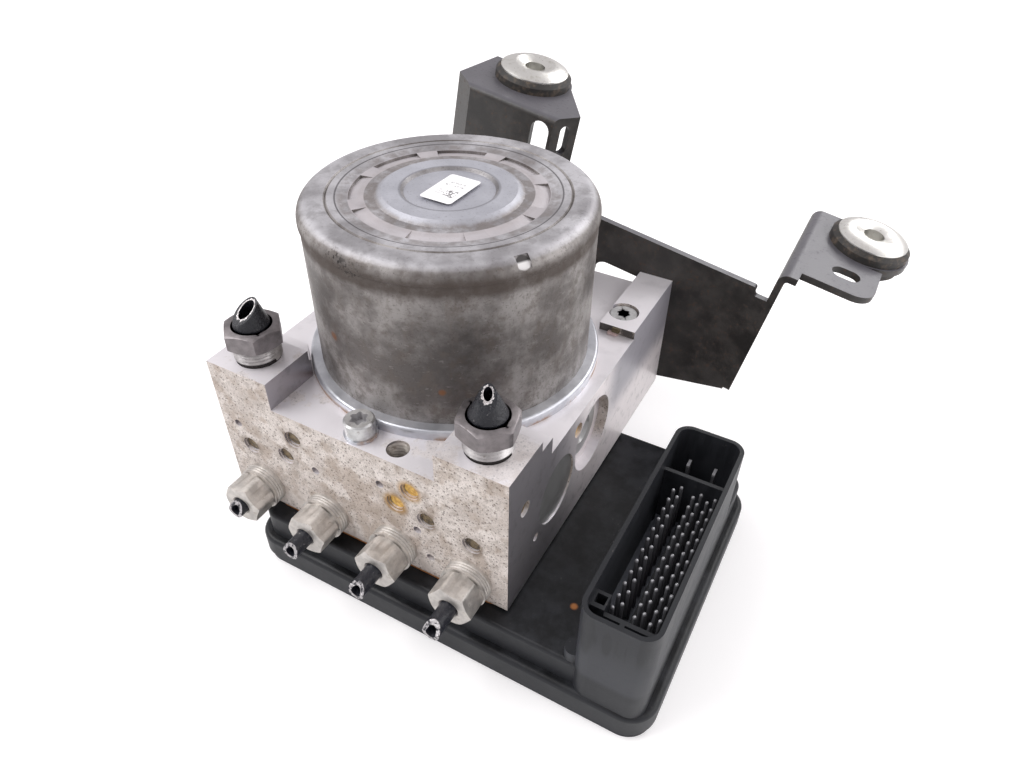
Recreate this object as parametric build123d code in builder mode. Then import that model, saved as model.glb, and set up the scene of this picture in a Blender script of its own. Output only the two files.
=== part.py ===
from build123d import *
import math
import os

os.makedirs("parts", exist_ok=True)

# Frame: +Z up along the pump motor's axis, -Y towards the four wheel lines, +X towards the
# electrical connector. The origin is on the base plane, under the motor's axis. Millimetres.

# ---- Control unit: base cover and housing --------------------------------------------------
UNIT_LEFT = -38.5
UNIT_RIGHT = 87.5
UNIT_FRONT = -56.5
UNIT_BACK = 32.0
UNIT_CORNER = 8.0
COVER_THICK = 3.0
RIM_TOP = 10.0
DECK_TOP = 18.5
DECK_THICK = 2.5
WALL = 2.5
BODY_INSET = 2.6
UNIT_WIDTH = UNIT_RIGHT - UNIT_LEFT
UNIT_DEPTH = UNIT_BACK - UNIT_FRONT
UNIT_MID_X = (UNIT_LEFT + UNIT_RIGHT) / 2
UNIT_MID_Y = (UNIT_FRONT + UNIT_BACK) / 2
BODY_CORNER = UNIT_CORNER - BODY_INSET
CAVITY_TOP = DECK_TOP - DECK_THICK
SCREW_SITES = ((-23.8, -43.0), (22.0, -43.0), (-30.5, 21.5), (38.5, 21.5))
UNIT_HEAD_RADIUS = 3.6
UNIT_HEAD_HEIGHT = COVER_THICK - 0.6

# ---- Motor radius, which the block is drawn around -------------------------------------------
CAN_RADIUS = 38.0
FLANGE_RADIUS = CAN_RADIUS + 3.1
MOTOR_SCREW_X = -0.6
MOTOR_SCREW_Y = -(FLANGE_RADIUS + 3.3)

# ---- Hydraulic block -----------------------------------------------------------------------
GASKET_THICK = 1.0
BLOCK_BOTTOM = DECK_TOP + GASKET_THICK
BLOCK_MID_X = -0.9
BLOCK_WIDTH = 91.0
BLOCK_FRONT = MOTOR_SCREW_Y - 4.7
BLOCK_BACK = 59.4
SEAT_HEIGHT = 38.3
POST_HEIGHT = 47.0
POST_STEP_HEIGHT = 43.8
REAR_POST_HEIGHT = 40.8
POST_WIDTH = 20.2
POST_DEPTH = 16.4
POST_STEP_DEPTH = 5.6
REAR_POST_WIDTH = 11.1
REAR_POST_DEPTH = 32.5
BLOCK_LEFT = BLOCK_MID_X - BLOCK_WIDTH / 2
BLOCK_RIGHT = BLOCK_MID_X + BLOCK_WIDTH / 2
BLOCK_DEPTH = BLOCK_BACK - BLOCK_FRONT
BLOCK_MID_Y = (BLOCK_FRONT + BLOCK_BACK) / 2
SEAT_Z = BLOCK_BOTTOM + SEAT_HEIGHT
POST_TOP = BLOCK_BOTTOM + POST_HEIGHT
REAR_POST_TOP = BLOCK_BOTTOM + REAR_POST_HEIGHT
REAR_CHAMFER = 3.0
SIDES = (-1, 1)

# ---- Pump motor ----------------------------------------------------------------------------
CAN_HEIGHT = 45.0
CAN_WALL = 1.8
CAN_ROUND = 3.6
FLANGE_THICK = 2.9
POCKET_RADIUS = FLANGE_RADIUS + 0.4
FLANGE_TOP = SEAT_Z + FLANGE_THICK
CAN_TOP = FLANGE_TOP + CAN_HEIGHT
SHAFT_RADIUS = 4.0
PUMP_Z = SEAT_Z - 15.4
ECCENTRICITY = 0.9
ECCENTRIC_RADIUS = 6.0
ECCENTRIC_WIDTH = 8.0
RING_RADIUS = 9.5
CHAMBER_RADIUS = 12.0
SWEEP_RADIUS = RING_RADIUS + ECCENTRICITY
BEARING_RADIUS = 8.0
BEARING_WIDTH = 7.0

# ---- Pump elements and low-pressure accumulators, left and right ----------------------------
RUNNING_GAP = 0.05
PISTON_RADIUS = 4.5
PISTON_LENGTH = 15.0
PISTON_START = SWEEP_RADIUS + 0.3
PISTON_STROKE = 2 * ECCENTRICITY
PLUG_START = BLOCK_WIDTH / 2 - 12.5
PLUG_RADIUS = 8.0
COUNTERBORE_RADIUS = 11.4
COUNTERBORE_DEPTH = 3.0
SPRING_WIRE = 0.9
STORE_Y = -22.5
STORE_Z = BLOCK_BOTTOM + 21.0
STORE_RADIUS = 9.0
STORE_START = 19.0
STORE_PISTON_LENGTH = 7.0
STORE_STROKE = 4.0
STORE_CAP_RADIUS = 10.0
STORE_CAP_THICK = 2.0

# ---- Solenoid valves -----------------------------------------------------------------------
VALVE_COLUMNS = (-25.0, -8.3, 8.3, 25.0)
VALVE_ROWS = (-27.0, -9.0, 9.0)
VALVE_SITES = [(BLOCK_MID_X + column, row) for column in VALVE_COLUMNS for row in VALVE_ROWS]
VALVE_RADIUS = 4.5
VALVE_DEPTH = 9.0
DOME_RADIUS = 2.8
DOME_LENGTH = 11.0
COIL_RADIUS = 6.3
COIL_HEIGHT = 9.5
COIL_TOP = BLOCK_BOTTOM - 1.5
BOARD_THICK = 1.6
BOARD_Z = COVER_THICK + 1.6

# ---- Line ports ----------------------------------------------------------------------------
POST_PORT_X = 35.2
POST_PORT_Y = BLOCK_FRONT + 8.8
PORT_THREAD_RADIUS = 5.9
POST_THREAD_LENGTH = 15.0
POST_THREAD_SHOWN = 4.9
POST_HEX_FLAT = 6.9
POST_HEX_HEIGHT = 5.3
POST_HEX_TURNS = (15.0, 43.0)
FRONT_PORT_XS = (-34.4, -11.4, 11.4, 34.4)
FRONT_PORT_Z = BLOCK_BOTTOM + 6.8
FRONT_THREAD_RADIUS = 4.9
FRONT_THREAD_LENGTH = 12.0
FRONT_COLLAR_RADIUS = 6.6
FRONT_COLLAR_LENGTH = 3.6
FRONT_HEX_FLAT = 5.6
FRONT_HEX_LENGTH = 7.0
TUBE_BORE = 1.6
TUBE_RADIUS = 2.9
FRONT_TUBE_BORE = 1.4
FRONT_TUBE_RADIUS = 2.4
THREAD_GAP = 0.1


# ---- Base cover ----------------------------------------------------------------------------
COVER_INSET = 0.8
with BuildPart() as ecu_cover:
    with BuildSketch(Plane.XY):
        with Locations((UNIT_MID_X, UNIT_MID_Y)):
            RectangleRounded(
                UNIT_WIDTH - 2 * COVER_INSET, UNIT_DEPTH - 2 * COVER_INSET, UNIT_CORNER - COVER_INSET
            )
    extrude(amount=COVER_THICK)
    with BuildSketch(Plane.XY):
        with Locations(*SCREW_SITES):
            Circle(UNIT_HEAD_RADIUS + RUNNING_GAP)
    extrude(amount=COVER_THICK, mode=Mode.SUBTRACT)
ecu_cover.part.label = "ecu_cover"
export_step(ecu_cover.part, "parts/ecu_cover.step")

# ---- Housing with its connector shroud -----------------------------------------------------
SHROUD_LEFT = 65.4
SHROUD_RIGHT = 84.9
SHROUD_FRONT = -55.8
SHROUD_BACK = 15.0
SHROUD_TOP = BLOCK_BOTTOM + 24.4
SHROUD_WALL = 1.2
SHROUD_CORNER = 4.5
SOCKET_FLOOR = DECK_TOP + 1.5
SHROUD_MID_X = (SHROUD_LEFT + SHROUD_RIGHT) / 2
SHROUD_MID_Y = (SHROUD_FRONT + SHROUD_BACK) / 2
SHROUD_WIDTH = SHROUD_RIGHT - SHROUD_LEFT
SHROUD_DEPTH = SHROUD_BACK - SHROUD_FRONT
SOCKET_WIDTH = SHROUD_WIDTH - 2 * SHROUD_WALL
SOCKET_DEPTH = SHROUD_DEPTH - 2 * SHROUD_WALL
CROSS_WALL_Y = 1.0
CROSS_WALL_TOP = BLOCK_BOTTOM + 19.0
FRONT_WALL_Y = -49.3
FRONT_WALL_TOP = BLOCK_BOTTOM + 18.0
RIB_X = 75.0
RIB_TOP = BLOCK_BOTTOM + 6.0
RIB_THICK = 1.2
KEY_SIZE = 3.6
KEY_X = SHROUD_LEFT + SHROUD_WALL + KEY_SIZE / 2
KEY_BORE = 2.6
KEY_BORE_DEPTH = 8.0
KEY_TOP = BLOCK_BOTTOM + 20.0
WINDOW_LEFT = -32.6
WINDOW_RIGHT = 35.0
WINDOW_FRONT = -34.5
WINDOW_BACK = 27.0
WINDOW_MID = ((WINDOW_LEFT + WINDOW_RIGHT) / 2, (WINDOW_FRONT + WINDOW_BACK) / 2)
WINDOW_SIZE = (WINDOW_RIGHT - WINDOW_LEFT, WINDOW_BACK - WINDOW_FRONT)
BOSS_RADIUS = 4.6
SCREW_HOLE = 2.2
LUG_RADIUS = 2.4
LUG_HEIGHT = 3.5
LUG_X = SHROUD_LEFT - 0.8
RIM_ROUND = 1.5
BODY_ROUND = 1.2
LUG_REAR_Y = -1.5
LUG_FRONT_Y = SHROUD_FRONT + SHROUD_CORNER
with BuildPart() as ecu_housing:
    with BuildSketch(Plane.XY.offset(COVER_THICK)):
        with Locations((UNIT_MID_X, UNIT_MID_Y)):
            RectangleRounded(UNIT_WIDTH, UNIT_DEPTH, UNIT_CORNER)
    extrude(amount=RIM_TOP - COVER_THICK)
    fillet(ecu_housing.edges().group_by(Axis.Z)[-1], radius=RIM_ROUND)
    with BuildSketch(Plane.XY.offset(RIM_TOP)):
        with Locations((UNIT_MID_X, UNIT_MID_Y)):
            RectangleRounded(UNIT_WIDTH - 2 * BODY_INSET, UNIT_DEPTH - 2 * BODY_INSET, BODY_CORNER)
    extrude(amount=DECK_TOP - RIM_TOP)
    fillet(ecu_housing.faces().sort_by(Axis.Z)[-1].edges(), radius=BODY_ROUND)
    with BuildSketch(Plane.XY.offset(RIM_TOP)):
        with Locations((SHROUD_MID_X, SHROUD_MID_Y)):
            RectangleRounded(SHROUD_WIDTH, SHROUD_DEPTH, SHROUD_CORNER)
    extrude(amount=SHROUD_TOP - RIM_TOP)
    # Board cavity, open to the cover, and the window that the valve stems come through.
    with BuildSketch(Plane.XY.offset(COVER_THICK)):
        with Locations((UNIT_MID_X, UNIT_MID_Y)):
            RectangleRounded(
                UNIT_WIDTH - 2 * (BODY_INSET + WALL),
                UNIT_DEPTH - 2 * (BODY_INSET + WALL),
                BODY_CORNER - WALL / 2,
            )
    extrude(amount=CAVITY_TOP - COVER_THICK, mode=Mode.SUBTRACT)
    with BuildSketch(Plane.XY.offset(COVER_THICK)):
        with Locations(*SCREW_SITES):
            Circle(BOSS_RADIUS)
    extrude(amount=CAVITY_TOP - COVER_THICK)
    with BuildSketch(Plane.XY.offset(CAVITY_TOP)):
        with Locations(WINDOW_MID):
            RectangleRounded(*WINDOW_SIZE, BODY_CORNER)
    extrude(amount=DECK_THICK, mode=Mode.SUBTRACT)
    with BuildSketch(Plane.XY.offset(COVER_THICK)):
        with Locations(*SCREW_SITES):
            Circle(SCREW_HOLE)
    extrude(amount=DECK_TOP - COVER_THICK, mode=Mode.SUBTRACT)
    # Connector socket, its two cross walls, the rib between the pin rows and the key.
    with BuildSketch(Plane.XY.offset(SOCKET_FLOOR)):
        with Locations((SHROUD_MID_X, SHROUD_MID_Y)):
            RectangleRounded(SOCKET_WIDTH, SOCKET_DEPTH, SHROUD_CORNER - SHROUD_WALL)
    extrude(amount=SHROUD_TOP - SOCKET_FLOOR, mode=Mode.SUBTRACT)
    with BuildSketch(Plane.XY.offset(SOCKET_FLOOR)):
        with Locations((SHROUD_MID_X, CROSS_WALL_Y)):
            Rectangle(SOCKET_WIDTH, RIB_THICK)
    extrude(amount=CROSS_WALL_TOP - SOCKET_FLOOR)
    with BuildSketch(Plane.XY.offset(SOCKET_FLOOR)):
        with Locations((SHROUD_MID_X, FRONT_WALL_Y)):
            Rectangle(SOCKET_WIDTH, RIB_THICK)
        with Locations((RIB_X, (FRONT_WALL_Y + SHROUD_FRONT + SHROUD_WALL) / 2)):
            Rectangle(RIB_THICK, FRONT_WALL_Y - SHROUD_FRONT - SHROUD_WALL)
    extrude(amount=FRONT_WALL_TOP - SOCKET_FLOOR)
    with BuildSketch(Plane.XY.offset(SOCKET_FLOOR)):
        with Locations((RIB_X, (FRONT_WALL_Y + CROSS_WALL_Y) / 2)):
            Rectangle(RIB_THICK, CROSS_WALL_Y - FRONT_WALL_Y)
    extrude(amount=RIB_TOP - SOCKET_FLOOR)
    with BuildSketch(Plane.XY.offset(SOCKET_FLOOR)):
        with Locations((KEY_X, FRONT_WALL_Y + KEY_SIZE / 2)):
            Rectangle(KEY_SIZE, KEY_SIZE + RIB_THICK)
    extrude(amount=KEY_TOP - SOCKET_FLOOR)
    with BuildSketch(Plane.XY.offset(KEY_TOP)):
        with Locations((KEY_X, FRONT_WALL_Y + RIB_THICK / 2 + KEY_BORE / 2)):
            Rectangle(KEY_BORE, KEY_BORE)
    extrude(amount=-KEY_BORE_DEPTH, mode=Mode.SUBTRACT)
    # Latch lugs outside the shroud.
    with BuildSketch(Plane.XY.offset(DECK_TOP)):
        with Locations((LUG_X, LUG_REAR_Y), (LUG_X, LUG_FRONT_Y)):
            Circle(LUG_RADIUS)
    extrude(amount=LUG_HEIGHT)
ecu_housing.part.label = "ecu_housing"
export_step(ecu_housing.part, "parts/ecu_housing.step")

# ---- Connector pins ------------------------------------------------------------------------
PIN_PAIR_XS = (71.8, 77.4, 81.3)
PIN_PAIR_GAP = 1.7
PIN_SIZE = 0.7
PIN_FIRST_Y = -0.6
PIN_PITCH = 3.85
PIN_COUNT = 12
PIN_TOP = BLOCK_BOTTOM + 17.0
PIN_ROWS = [
    (pair_x + side * PIN_PAIR_GAP / 2, side * PIN_PITCH / 4) for pair_x in PIN_PAIR_XS for side in SIDES
]
with BuildPart() as signal_pins:
    with BuildSketch(Plane.XY.offset(SOCKET_FLOOR)):
        with Locations(
            *[
                (row_x, PIN_FIRST_Y - PIN_PITCH / 2 - index * PIN_PITCH + shift)
                for row_x, shift in PIN_ROWS
                for index in range(PIN_COUNT)
            ]
        ):
            Rectangle(PIN_SIZE, PIN_SIZE)
    extrude(amount=PIN_TOP - SOCKET_FLOOR)
signal_pins.part.label = "signal_pins"
export_step(signal_pins.part, "parts/signal_pins.step")

BLADE_WIDTH = 2.8
BLADE_THICK = 0.8
BLADE_Y = 8.2
BLADE_XS = (SHROUD_MID_X - 3.7, SHROUD_MID_X + 3.7)
BLADE_TOP = BLOCK_BOTTOM + 17.0
with BuildPart() as power_blades:
    with BuildSketch(Plane.XY.offset(SOCKET_FLOOR)):
        with Locations(*[(blade_x, BLADE_Y) for blade_x in BLADE_XS]):
            Rectangle(BLADE_THICK, BLADE_WIDTH)
    extrude(amount=BLADE_TOP - SOCKET_FLOOR)
power_blades.part.label = "power_blades"
export_step(power_blades.part, "parts/power_blades.step")

# ---- Circuit board, its parts and the solenoid coils ---------------------------------------
BOARD_GAP = 1.0
BOARD_WIDTH = UNIT_WIDTH - 2 * (BODY_INSET + WALL + BOARD_GAP)
BOARD_DEPTH = UNIT_DEPTH - 2 * (BODY_INSET + WALL + BOARD_GAP)
BOARD_SCREW_NOTCH = BOSS_RADIUS + 0.4
PILLAR_RADIUS = 2.0
PILLAR_SITES = ((52.0, -46.0), (52.0, 20.0), (78.0, -46.0), (78.0, 20.0))
BOARD_TOP = BOARD_Z + BOARD_THICK
with BuildPart() as circuit_board:
    with BuildSketch(Plane.XY.offset(BOARD_Z)):
        with Locations((UNIT_MID_X, UNIT_MID_Y)):
            RectangleRounded(BOARD_WIDTH, BOARD_DEPTH, BODY_CORNER - WALL / 2)
        with Locations(*SCREW_SITES):
            Circle(BOARD_SCREW_NOTCH, mode=Mode.SUBTRACT)
    extrude(amount=BOARD_THICK)
circuit_board.part.label = "circuit_board"
export_step(circuit_board.part, "parts/circuit_board.step")

with BuildPart() as board_pillars:
    with BuildSketch(Plane.XY.offset(BOARD_TOP)):
        with Locations(*PILLAR_SITES):
            Circle(PILLAR_RADIUS)
    extrude(amount=CAVITY_TOP - BOARD_TOP)
board_pillars.part.label = "board_pillars"
export_step(board_pillars.part, "parts/board_pillars.step")

CHIP_SIZE = 14.0
CHIP_THICK = 1.6
CAPACITOR_RADIUS = 4.0
CAPACITOR_HEIGHT = 8.0
CHOKE_SIZE = 10.0
CHOKE_HEIGHT = 6.0
CHIP_SITE = (56.0, -20.0)
CAPACITOR_SITES = ((72.0, 8.0), (60.0, 8.0))
CHOKE_SITE = (72.0, -32.0)
with BuildPart() as processor_chip:
    with BuildSketch(Plane.XY.offset(BOARD_TOP)):
        with Locations(CHIP_SITE):
            Rectangle(CHIP_SIZE, CHIP_SIZE)
    extrude(amount=CHIP_THICK)
processor_chip.part.label = "processor_chip"
export_step(processor_chip.part, "parts/processor_chip.step")

with BuildPart() as supply_capacitors:
    with BuildSketch(Plane.XY.offset(BOARD_TOP)):
        with Locations(*CAPACITOR_SITES):
            Circle(CAPACITOR_RADIUS)
    extrude(amount=CAPACITOR_HEIGHT)
supply_capacitors.part.label = "supply_capacitors"
export_step(supply_capacitors.part, "parts/supply_capacitors.step")

with BuildPart() as supply_choke:
    with BuildSketch(Plane.XY.offset(BOARD_TOP)):
        with Locations(CHOKE_SITE):
            RectangleRounded(CHOKE_SIZE, CHOKE_SIZE, CHOKE_SIZE / 5)
    extrude(amount=CHOKE_HEIGHT)
supply_choke.part.label = "supply_choke"
export_step(supply_choke.part, "parts/supply_choke.step")

with BuildPart() as solenoid_coils:
    with BuildSketch(Plane.XY.offset(COIL_TOP - COIL_HEIGHT)):
        with Locations(*VALVE_SITES):
            Circle(COIL_RADIUS)
            Circle(DOME_RADIUS + RUNNING_GAP, mode=Mode.SUBTRACT)
    extrude(amount=COIL_HEIGHT)
solenoid_coils.part.label = "solenoid_coils"
export_step(solenoid_coils.part, "parts/solenoid_coils.step")

# ---- Seal between the housing and the block -------------------------------------------------
SEAL_WIDTH = 1.6
SEAL_LEFT = UNIT_LEFT + BODY_INSET + 1.3
SEAL_RIGHT = 43.5
SEAL_FRONT = BLOCK_FRONT + 0.2
SEAL_BACK = 28.2
with BuildPart() as housing_seal:
    with BuildSketch(Plane.XY.offset(DECK_TOP)):
        with Locations(((SEAL_LEFT + SEAL_RIGHT) / 2, (SEAL_FRONT + SEAL_BACK) / 2)):
            RectangleRounded(SEAL_RIGHT - SEAL_LEFT, SEAL_BACK - SEAL_FRONT, BODY_CORNER)
            RectangleRounded(
                SEAL_RIGHT - SEAL_LEFT - 2 * SEAL_WIDTH,
                SEAL_BACK - SEAL_FRONT - 2 * SEAL_WIDTH,
                BODY_CORNER - SEAL_WIDTH,
                mode=Mode.SUBTRACT,
            )
    extrude(amount=GASKET_THICK)
housing_seal.part.label = "housing_seal"
export_step(housing_seal.part, "parts/housing_seal.step")

# ---- Screws from the cover side into the block ----------------------------------------------
UNIT_SCREW_RADIUS = 2.0
UNIT_SCREW_DEPTH = 8.0
SCREW_BOTTOM = 0.6
UNIT_SCREW_TOP = BLOCK_BOTTOM + UNIT_SCREW_DEPTH
with BuildPart() as unit_screws:
    with BuildSketch(Plane.XY.offset(SCREW_BOTTOM)):
        with Locations(*SCREW_SITES):
            Circle(UNIT_HEAD_RADIUS)
    extrude(amount=UNIT_HEAD_HEIGHT)
    with BuildSketch(Plane.XY.offset(SCREW_BOTTOM + UNIT_HEAD_HEIGHT)):
        with Locations(*SCREW_SITES):
            Circle(UNIT_SCREW_RADIUS - RUNNING_GAP)
    extrude(amount=UNIT_SCREW_TOP - SCREW_BOTTOM - UNIT_HEAD_HEIGHT)
unit_screws.part.label = "unit_screws"
export_step(unit_screws.part, "parts/unit_screws.step")

# ---- Hydraulic block: posts, motor pocket and bores -----------------------------------------
BALL_HOLE_DEPTH = 3.0
FRONT_BALLS = (
    (16.6, 30.3),
    (-20.7, 30.3),
    (11.7, 23.4),
    (20.9, 21.7),
    (-24.7, 22.4),
    (34.3, 20.2),
    (-37.8, 20.2),
)
BALL_HOLE_RADIUS = 2.2
BALL_RING_RADIUS = 2.7
BALL_RING_DEPTH = 0.5
SMALL_HOLES = ((7.3, 28.1), (17.9, 16.5), (21.4, 7.4), (-14.6, 21.7), (-40.7, 27.3))
SMALL_HOLE_RADIUS = 1.2
SMALL_HOLE_DEPTH = 1.6
SIDE_BALLS = ((-40.8, 31.5), (-10.6, 32.6))
SIDE_SMALL_HOLE = (-34.2, 13.8)
SPARE_HOLE_X = 10.7
SPARE_HOLE_RADIUS = 3.0
SPARE_HOLE_DEPTH = 8.0
POST_SCREW_XS = (BLOCK_RIGHT - 6.9, BLOCK_LEFT + 6.9)
POST_SCREW_Y = 35.4
POST_SINK_RADIUS = 4.6
POST_SINK_DEPTH = 0.6
POST_HEAD_DEPTH = 3.0
POST_SHANK_RADIUS = 2.0
POST_SHANK_LENGTH = 14.0
MOTOR_SCREW_RADIUS = 2.4
MOTOR_SCREW_DEPTH = 12.0
MOTOR_SCREW_YS = (MOTOR_SCREW_Y, -MOTOR_SCREW_Y)
SLEEVE_Y = 20.5
SLEEVE_RADIUS = 3.0
BRACKET_SCREW_SITES = ((-26.0, 12.0), (-26.0, 28.0), (30.0, 20.0))
BRACKET_SCREW_RADIUS = 3.0
BRACKET_SCREW_DEPTH = 12.0
with BuildPart() as valve_block:
    with BuildSketch(Plane.XY.offset(BLOCK_BOTTOM)):
        with Locations((BLOCK_MID_X, BLOCK_MID_Y)):
            Rectangle(BLOCK_WIDTH, BLOCK_DEPTH)
    extrude(amount=SEAT_HEIGHT)
    chamfer(valve_block.edges().group_by(Axis.Z)[-1].sort_by(Axis.Y)[-1], length=REAR_CHAMFER)
    for side in SIDES:
        with BuildSketch(Plane.XY.offset(SEAT_Z)):
            with Locations(
                (BLOCK_MID_X + side * (BLOCK_WIDTH - POST_WIDTH) / 2, BLOCK_FRONT + POST_DEPTH / 2)
            ):
                Rectangle(POST_WIDTH, POST_DEPTH)
        extrude(amount=POST_HEIGHT - SEAT_HEIGHT)
        with BuildSketch(Plane.XY.offset(SEAT_Z)):
            with Locations(
                (
                    BLOCK_MID_X + side * (BLOCK_WIDTH - POST_WIDTH) / 2,
                    BLOCK_FRONT + POST_DEPTH + POST_STEP_DEPTH / 2,
                )
            ):
                Rectangle(POST_WIDTH, POST_STEP_DEPTH)
        extrude(amount=POST_STEP_HEIGHT - SEAT_HEIGHT)
        with BuildSketch(Plane.XY.offset(SEAT_Z - REAR_CHAMFER)):
            with Locations(
                (BLOCK_MID_X + side * (BLOCK_WIDTH - REAR_POST_WIDTH) / 2, BLOCK_BACK - REAR_POST_DEPTH / 2)
            ):
                Rectangle(REAR_POST_WIDTH, REAR_POST_DEPTH)
        extrude(amount=REAR_POST_TOP - SEAT_Z + REAR_CHAMFER)
    # Pocket for the motor's end plate, and the chamber that its eccentric turns in.
    with BuildSketch(Plane.XY.offset(SEAT_Z)):
        Circle(POCKET_RADIUS)
    extrude(amount=POST_HEIGHT, mode=Mode.SUBTRACT)
    with BuildSketch(Plane.XY.offset(SEAT_Z)):
        Circle(CHAMBER_RADIUS)
    extrude(amount=-(SEAT_Z - PUMP_Z + ECCENTRIC_WIDTH), mode=Mode.SUBTRACT)
    # Line ports.
    with BuildSketch(Plane.XY.offset(POST_TOP)):
        with Locations(*[(BLOCK_MID_X + side * POST_PORT_X, POST_PORT_Y) for side in SIDES]):
            Circle(PORT_THREAD_RADIUS + THREAD_GAP)
    extrude(amount=-POST_THREAD_LENGTH, mode=Mode.SUBTRACT)
    with BuildSketch(Plane.XZ.offset(-BLOCK_FRONT)):
        with Locations(*[(BLOCK_MID_X + port_x, FRONT_PORT_Z) for port_x in FRONT_PORT_XS]):
            Circle(FRONT_THREAD_RADIUS + THREAD_GAP)
    extrude(amount=-(FRONT_THREAD_LENGTH + 1.0), mode=Mode.SUBTRACT)
    # Valve bores from below.
    with BuildSketch(Plane.XY.offset(BLOCK_BOTTOM)):
        with Locations(*VALVE_SITES):
            Circle(VALVE_RADIUS)
    extrude(amount=VALVE_DEPTH, mode=Mode.SUBTRACT)
    with BuildSketch(Plane.XY.offset(BLOCK_BOTTOM)):
        with Locations(*SCREW_SITES):
            Circle(UNIT_SCREW_RADIUS)
    extrude(amount=UNIT_SCREW_DEPTH, mode=Mode.SUBTRACT)
    # Motor lead passage, motor screw holes, the spare hole and the post screw recesses.
    with BuildSketch(Plane.XY.offset(BLOCK_BOTTOM)):
        with Locations((0, SLEEVE_Y)):
            Circle(SLEEVE_RADIUS)
    extrude(amount=SEAT_HEIGHT, mode=Mode.SUBTRACT)
    with BuildSketch(Plane.XY.offset(SEAT_Z)):
        with Locations(*[(MOTOR_SCREW_X, screw_y) for screw_y in MOTOR_SCREW_YS]):
            Circle(MOTOR_SCREW_RADIUS)
    extrude(amount=-MOTOR_SCREW_DEPTH, mode=Mode.SUBTRACT)
    with BuildSketch(Plane.XY.offset(SEAT_Z)):
        with Locations((SPARE_HOLE_X, MOTOR_SCREW_Y)):
            Circle(SPARE_HOLE_RADIUS)
    extrude(amount=-SPARE_HOLE_DEPTH, mode=Mode.SUBTRACT)
    with BuildSketch(Plane.XY.offset(REAR_POST_TOP)):
        with Locations(*[(screw_x, POST_SCREW_Y) for screw_x in POST_SCREW_XS]):
            Circle(POST_SINK_RADIUS)
    extrude(amount=-(POST_SINK_DEPTH + POST_HEAD_DEPTH), mode=Mode.SUBTRACT)
    with BuildSketch(Plane.XY.offset(REAR_POST_TOP)):
        with Locations(*[(screw_x, POST_SCREW_Y) for screw_x in POST_SCREW_XS]):
            Circle(POST_SHANK_RADIUS)
    extrude(amount=-(POST_SINK_DEPTH + POST_HEAD_DEPTH + POST_SHANK_LENGTH), mode=Mode.SUBTRACT)
    # Sealed drillings on the front face.
    with BuildSketch(Plane.XZ.offset(-BLOCK_FRONT)):
        with Locations(*[(ball_x, BLOCK_BOTTOM + ball_z) for ball_x, ball_z in FRONT_BALLS]):
            Circle(BALL_RING_RADIUS)
    extrude(amount=-BALL_RING_DEPTH, mode=Mode.SUBTRACT)
    with BuildSketch(Plane.XZ.offset(-BLOCK_FRONT)):
        with Locations(*[(ball_x, BLOCK_BOTTOM + ball_z) for ball_x, ball_z in FRONT_BALLS]):
            Circle(BALL_HOLE_RADIUS)
    extrude(amount=-BALL_HOLE_DEPTH, mode=Mode.SUBTRACT)
    with BuildSketch(Plane.XZ.offset(-BLOCK_FRONT)):
        with Locations(*[(hole_x, BLOCK_BOTTOM + hole_z) for hole_x, hole_z in SMALL_HOLES]):
            Circle(SMALL_HOLE_RADIUS)
    extrude(amount=-SMALL_HOLE_DEPTH, mode=Mode.SUBTRACT)
    with BuildSketch(Plane.XZ.offset(-BLOCK_BACK)):
        with Locations(*[(hole_x, BLOCK_BOTTOM + hole_z) for hole_x, hole_z in BRACKET_SCREW_SITES]):
            Circle(BRACKET_SCREW_RADIUS)
    extrude(amount=BRACKET_SCREW_DEPTH, mode=Mode.SUBTRACT)
    # Pump and accumulator bores from the left and right faces.
    for side in SIDES:
        face_x = BLOCK_MID_X + side * BLOCK_WIDTH / 2
        face = Plane(origin=(face_x, 0, 0), x_dir=(0, side, 0), z_dir=(side, 0, 0))
        reach = BLOCK_WIDTH / 2 + side * BLOCK_MID_X
        with BuildSketch(face):
            with Locations((0, PUMP_Z)):
                Circle(COUNTERBORE_RADIUS)
        extrude(amount=-COUNTERBORE_DEPTH, mode=Mode.SUBTRACT)
        with BuildSketch(face):
            with Locations((0, PUMP_Z)):
                Circle(PLUG_RADIUS)
        extrude(amount=-(reach - PLUG_START), mode=Mode.SUBTRACT)
        with BuildSketch(face):
            with Locations((0, PUMP_Z)):
                Circle(PISTON_RADIUS + RUNNING_GAP)
        extrude(amount=-(reach - CHAMBER_RADIUS / 2), mode=Mode.SUBTRACT)
        with BuildSketch(face):
            with Locations((side * STORE_Y, STORE_Z)):
                Circle(STORE_CAP_RADIUS)
        extrude(amount=-STORE_CAP_THICK, mode=Mode.SUBTRACT)
        with BuildSketch(face):
            with Locations((side * STORE_Y, STORE_Z)):
                Circle(STORE_RADIUS + RUNNING_GAP)
        extrude(amount=-(reach - STORE_START), mode=Mode.SUBTRACT)
        with BuildSketch(face):
            with Locations(*[(side * ball_y, BLOCK_BOTTOM + ball_z) for ball_y, ball_z in SIDE_BALLS]):
                Circle(BALL_HOLE_RADIUS)
        extrude(amount=-BALL_HOLE_DEPTH, mode=Mode.SUBTRACT)
        with BuildSketch(face):
            with Locations((side * SIDE_SMALL_HOLE[0], BLOCK_BOTTOM + SIDE_SMALL_HOLE[1])):
                Circle(SMALL_HOLE_RADIUS)
        extrude(amount=-SMALL_HOLE_DEPTH, mode=Mode.SUBTRACT)
valve_block.part.label = "valve_block"
export_step(valve_block.part, "parts/valve_block.step")

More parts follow.
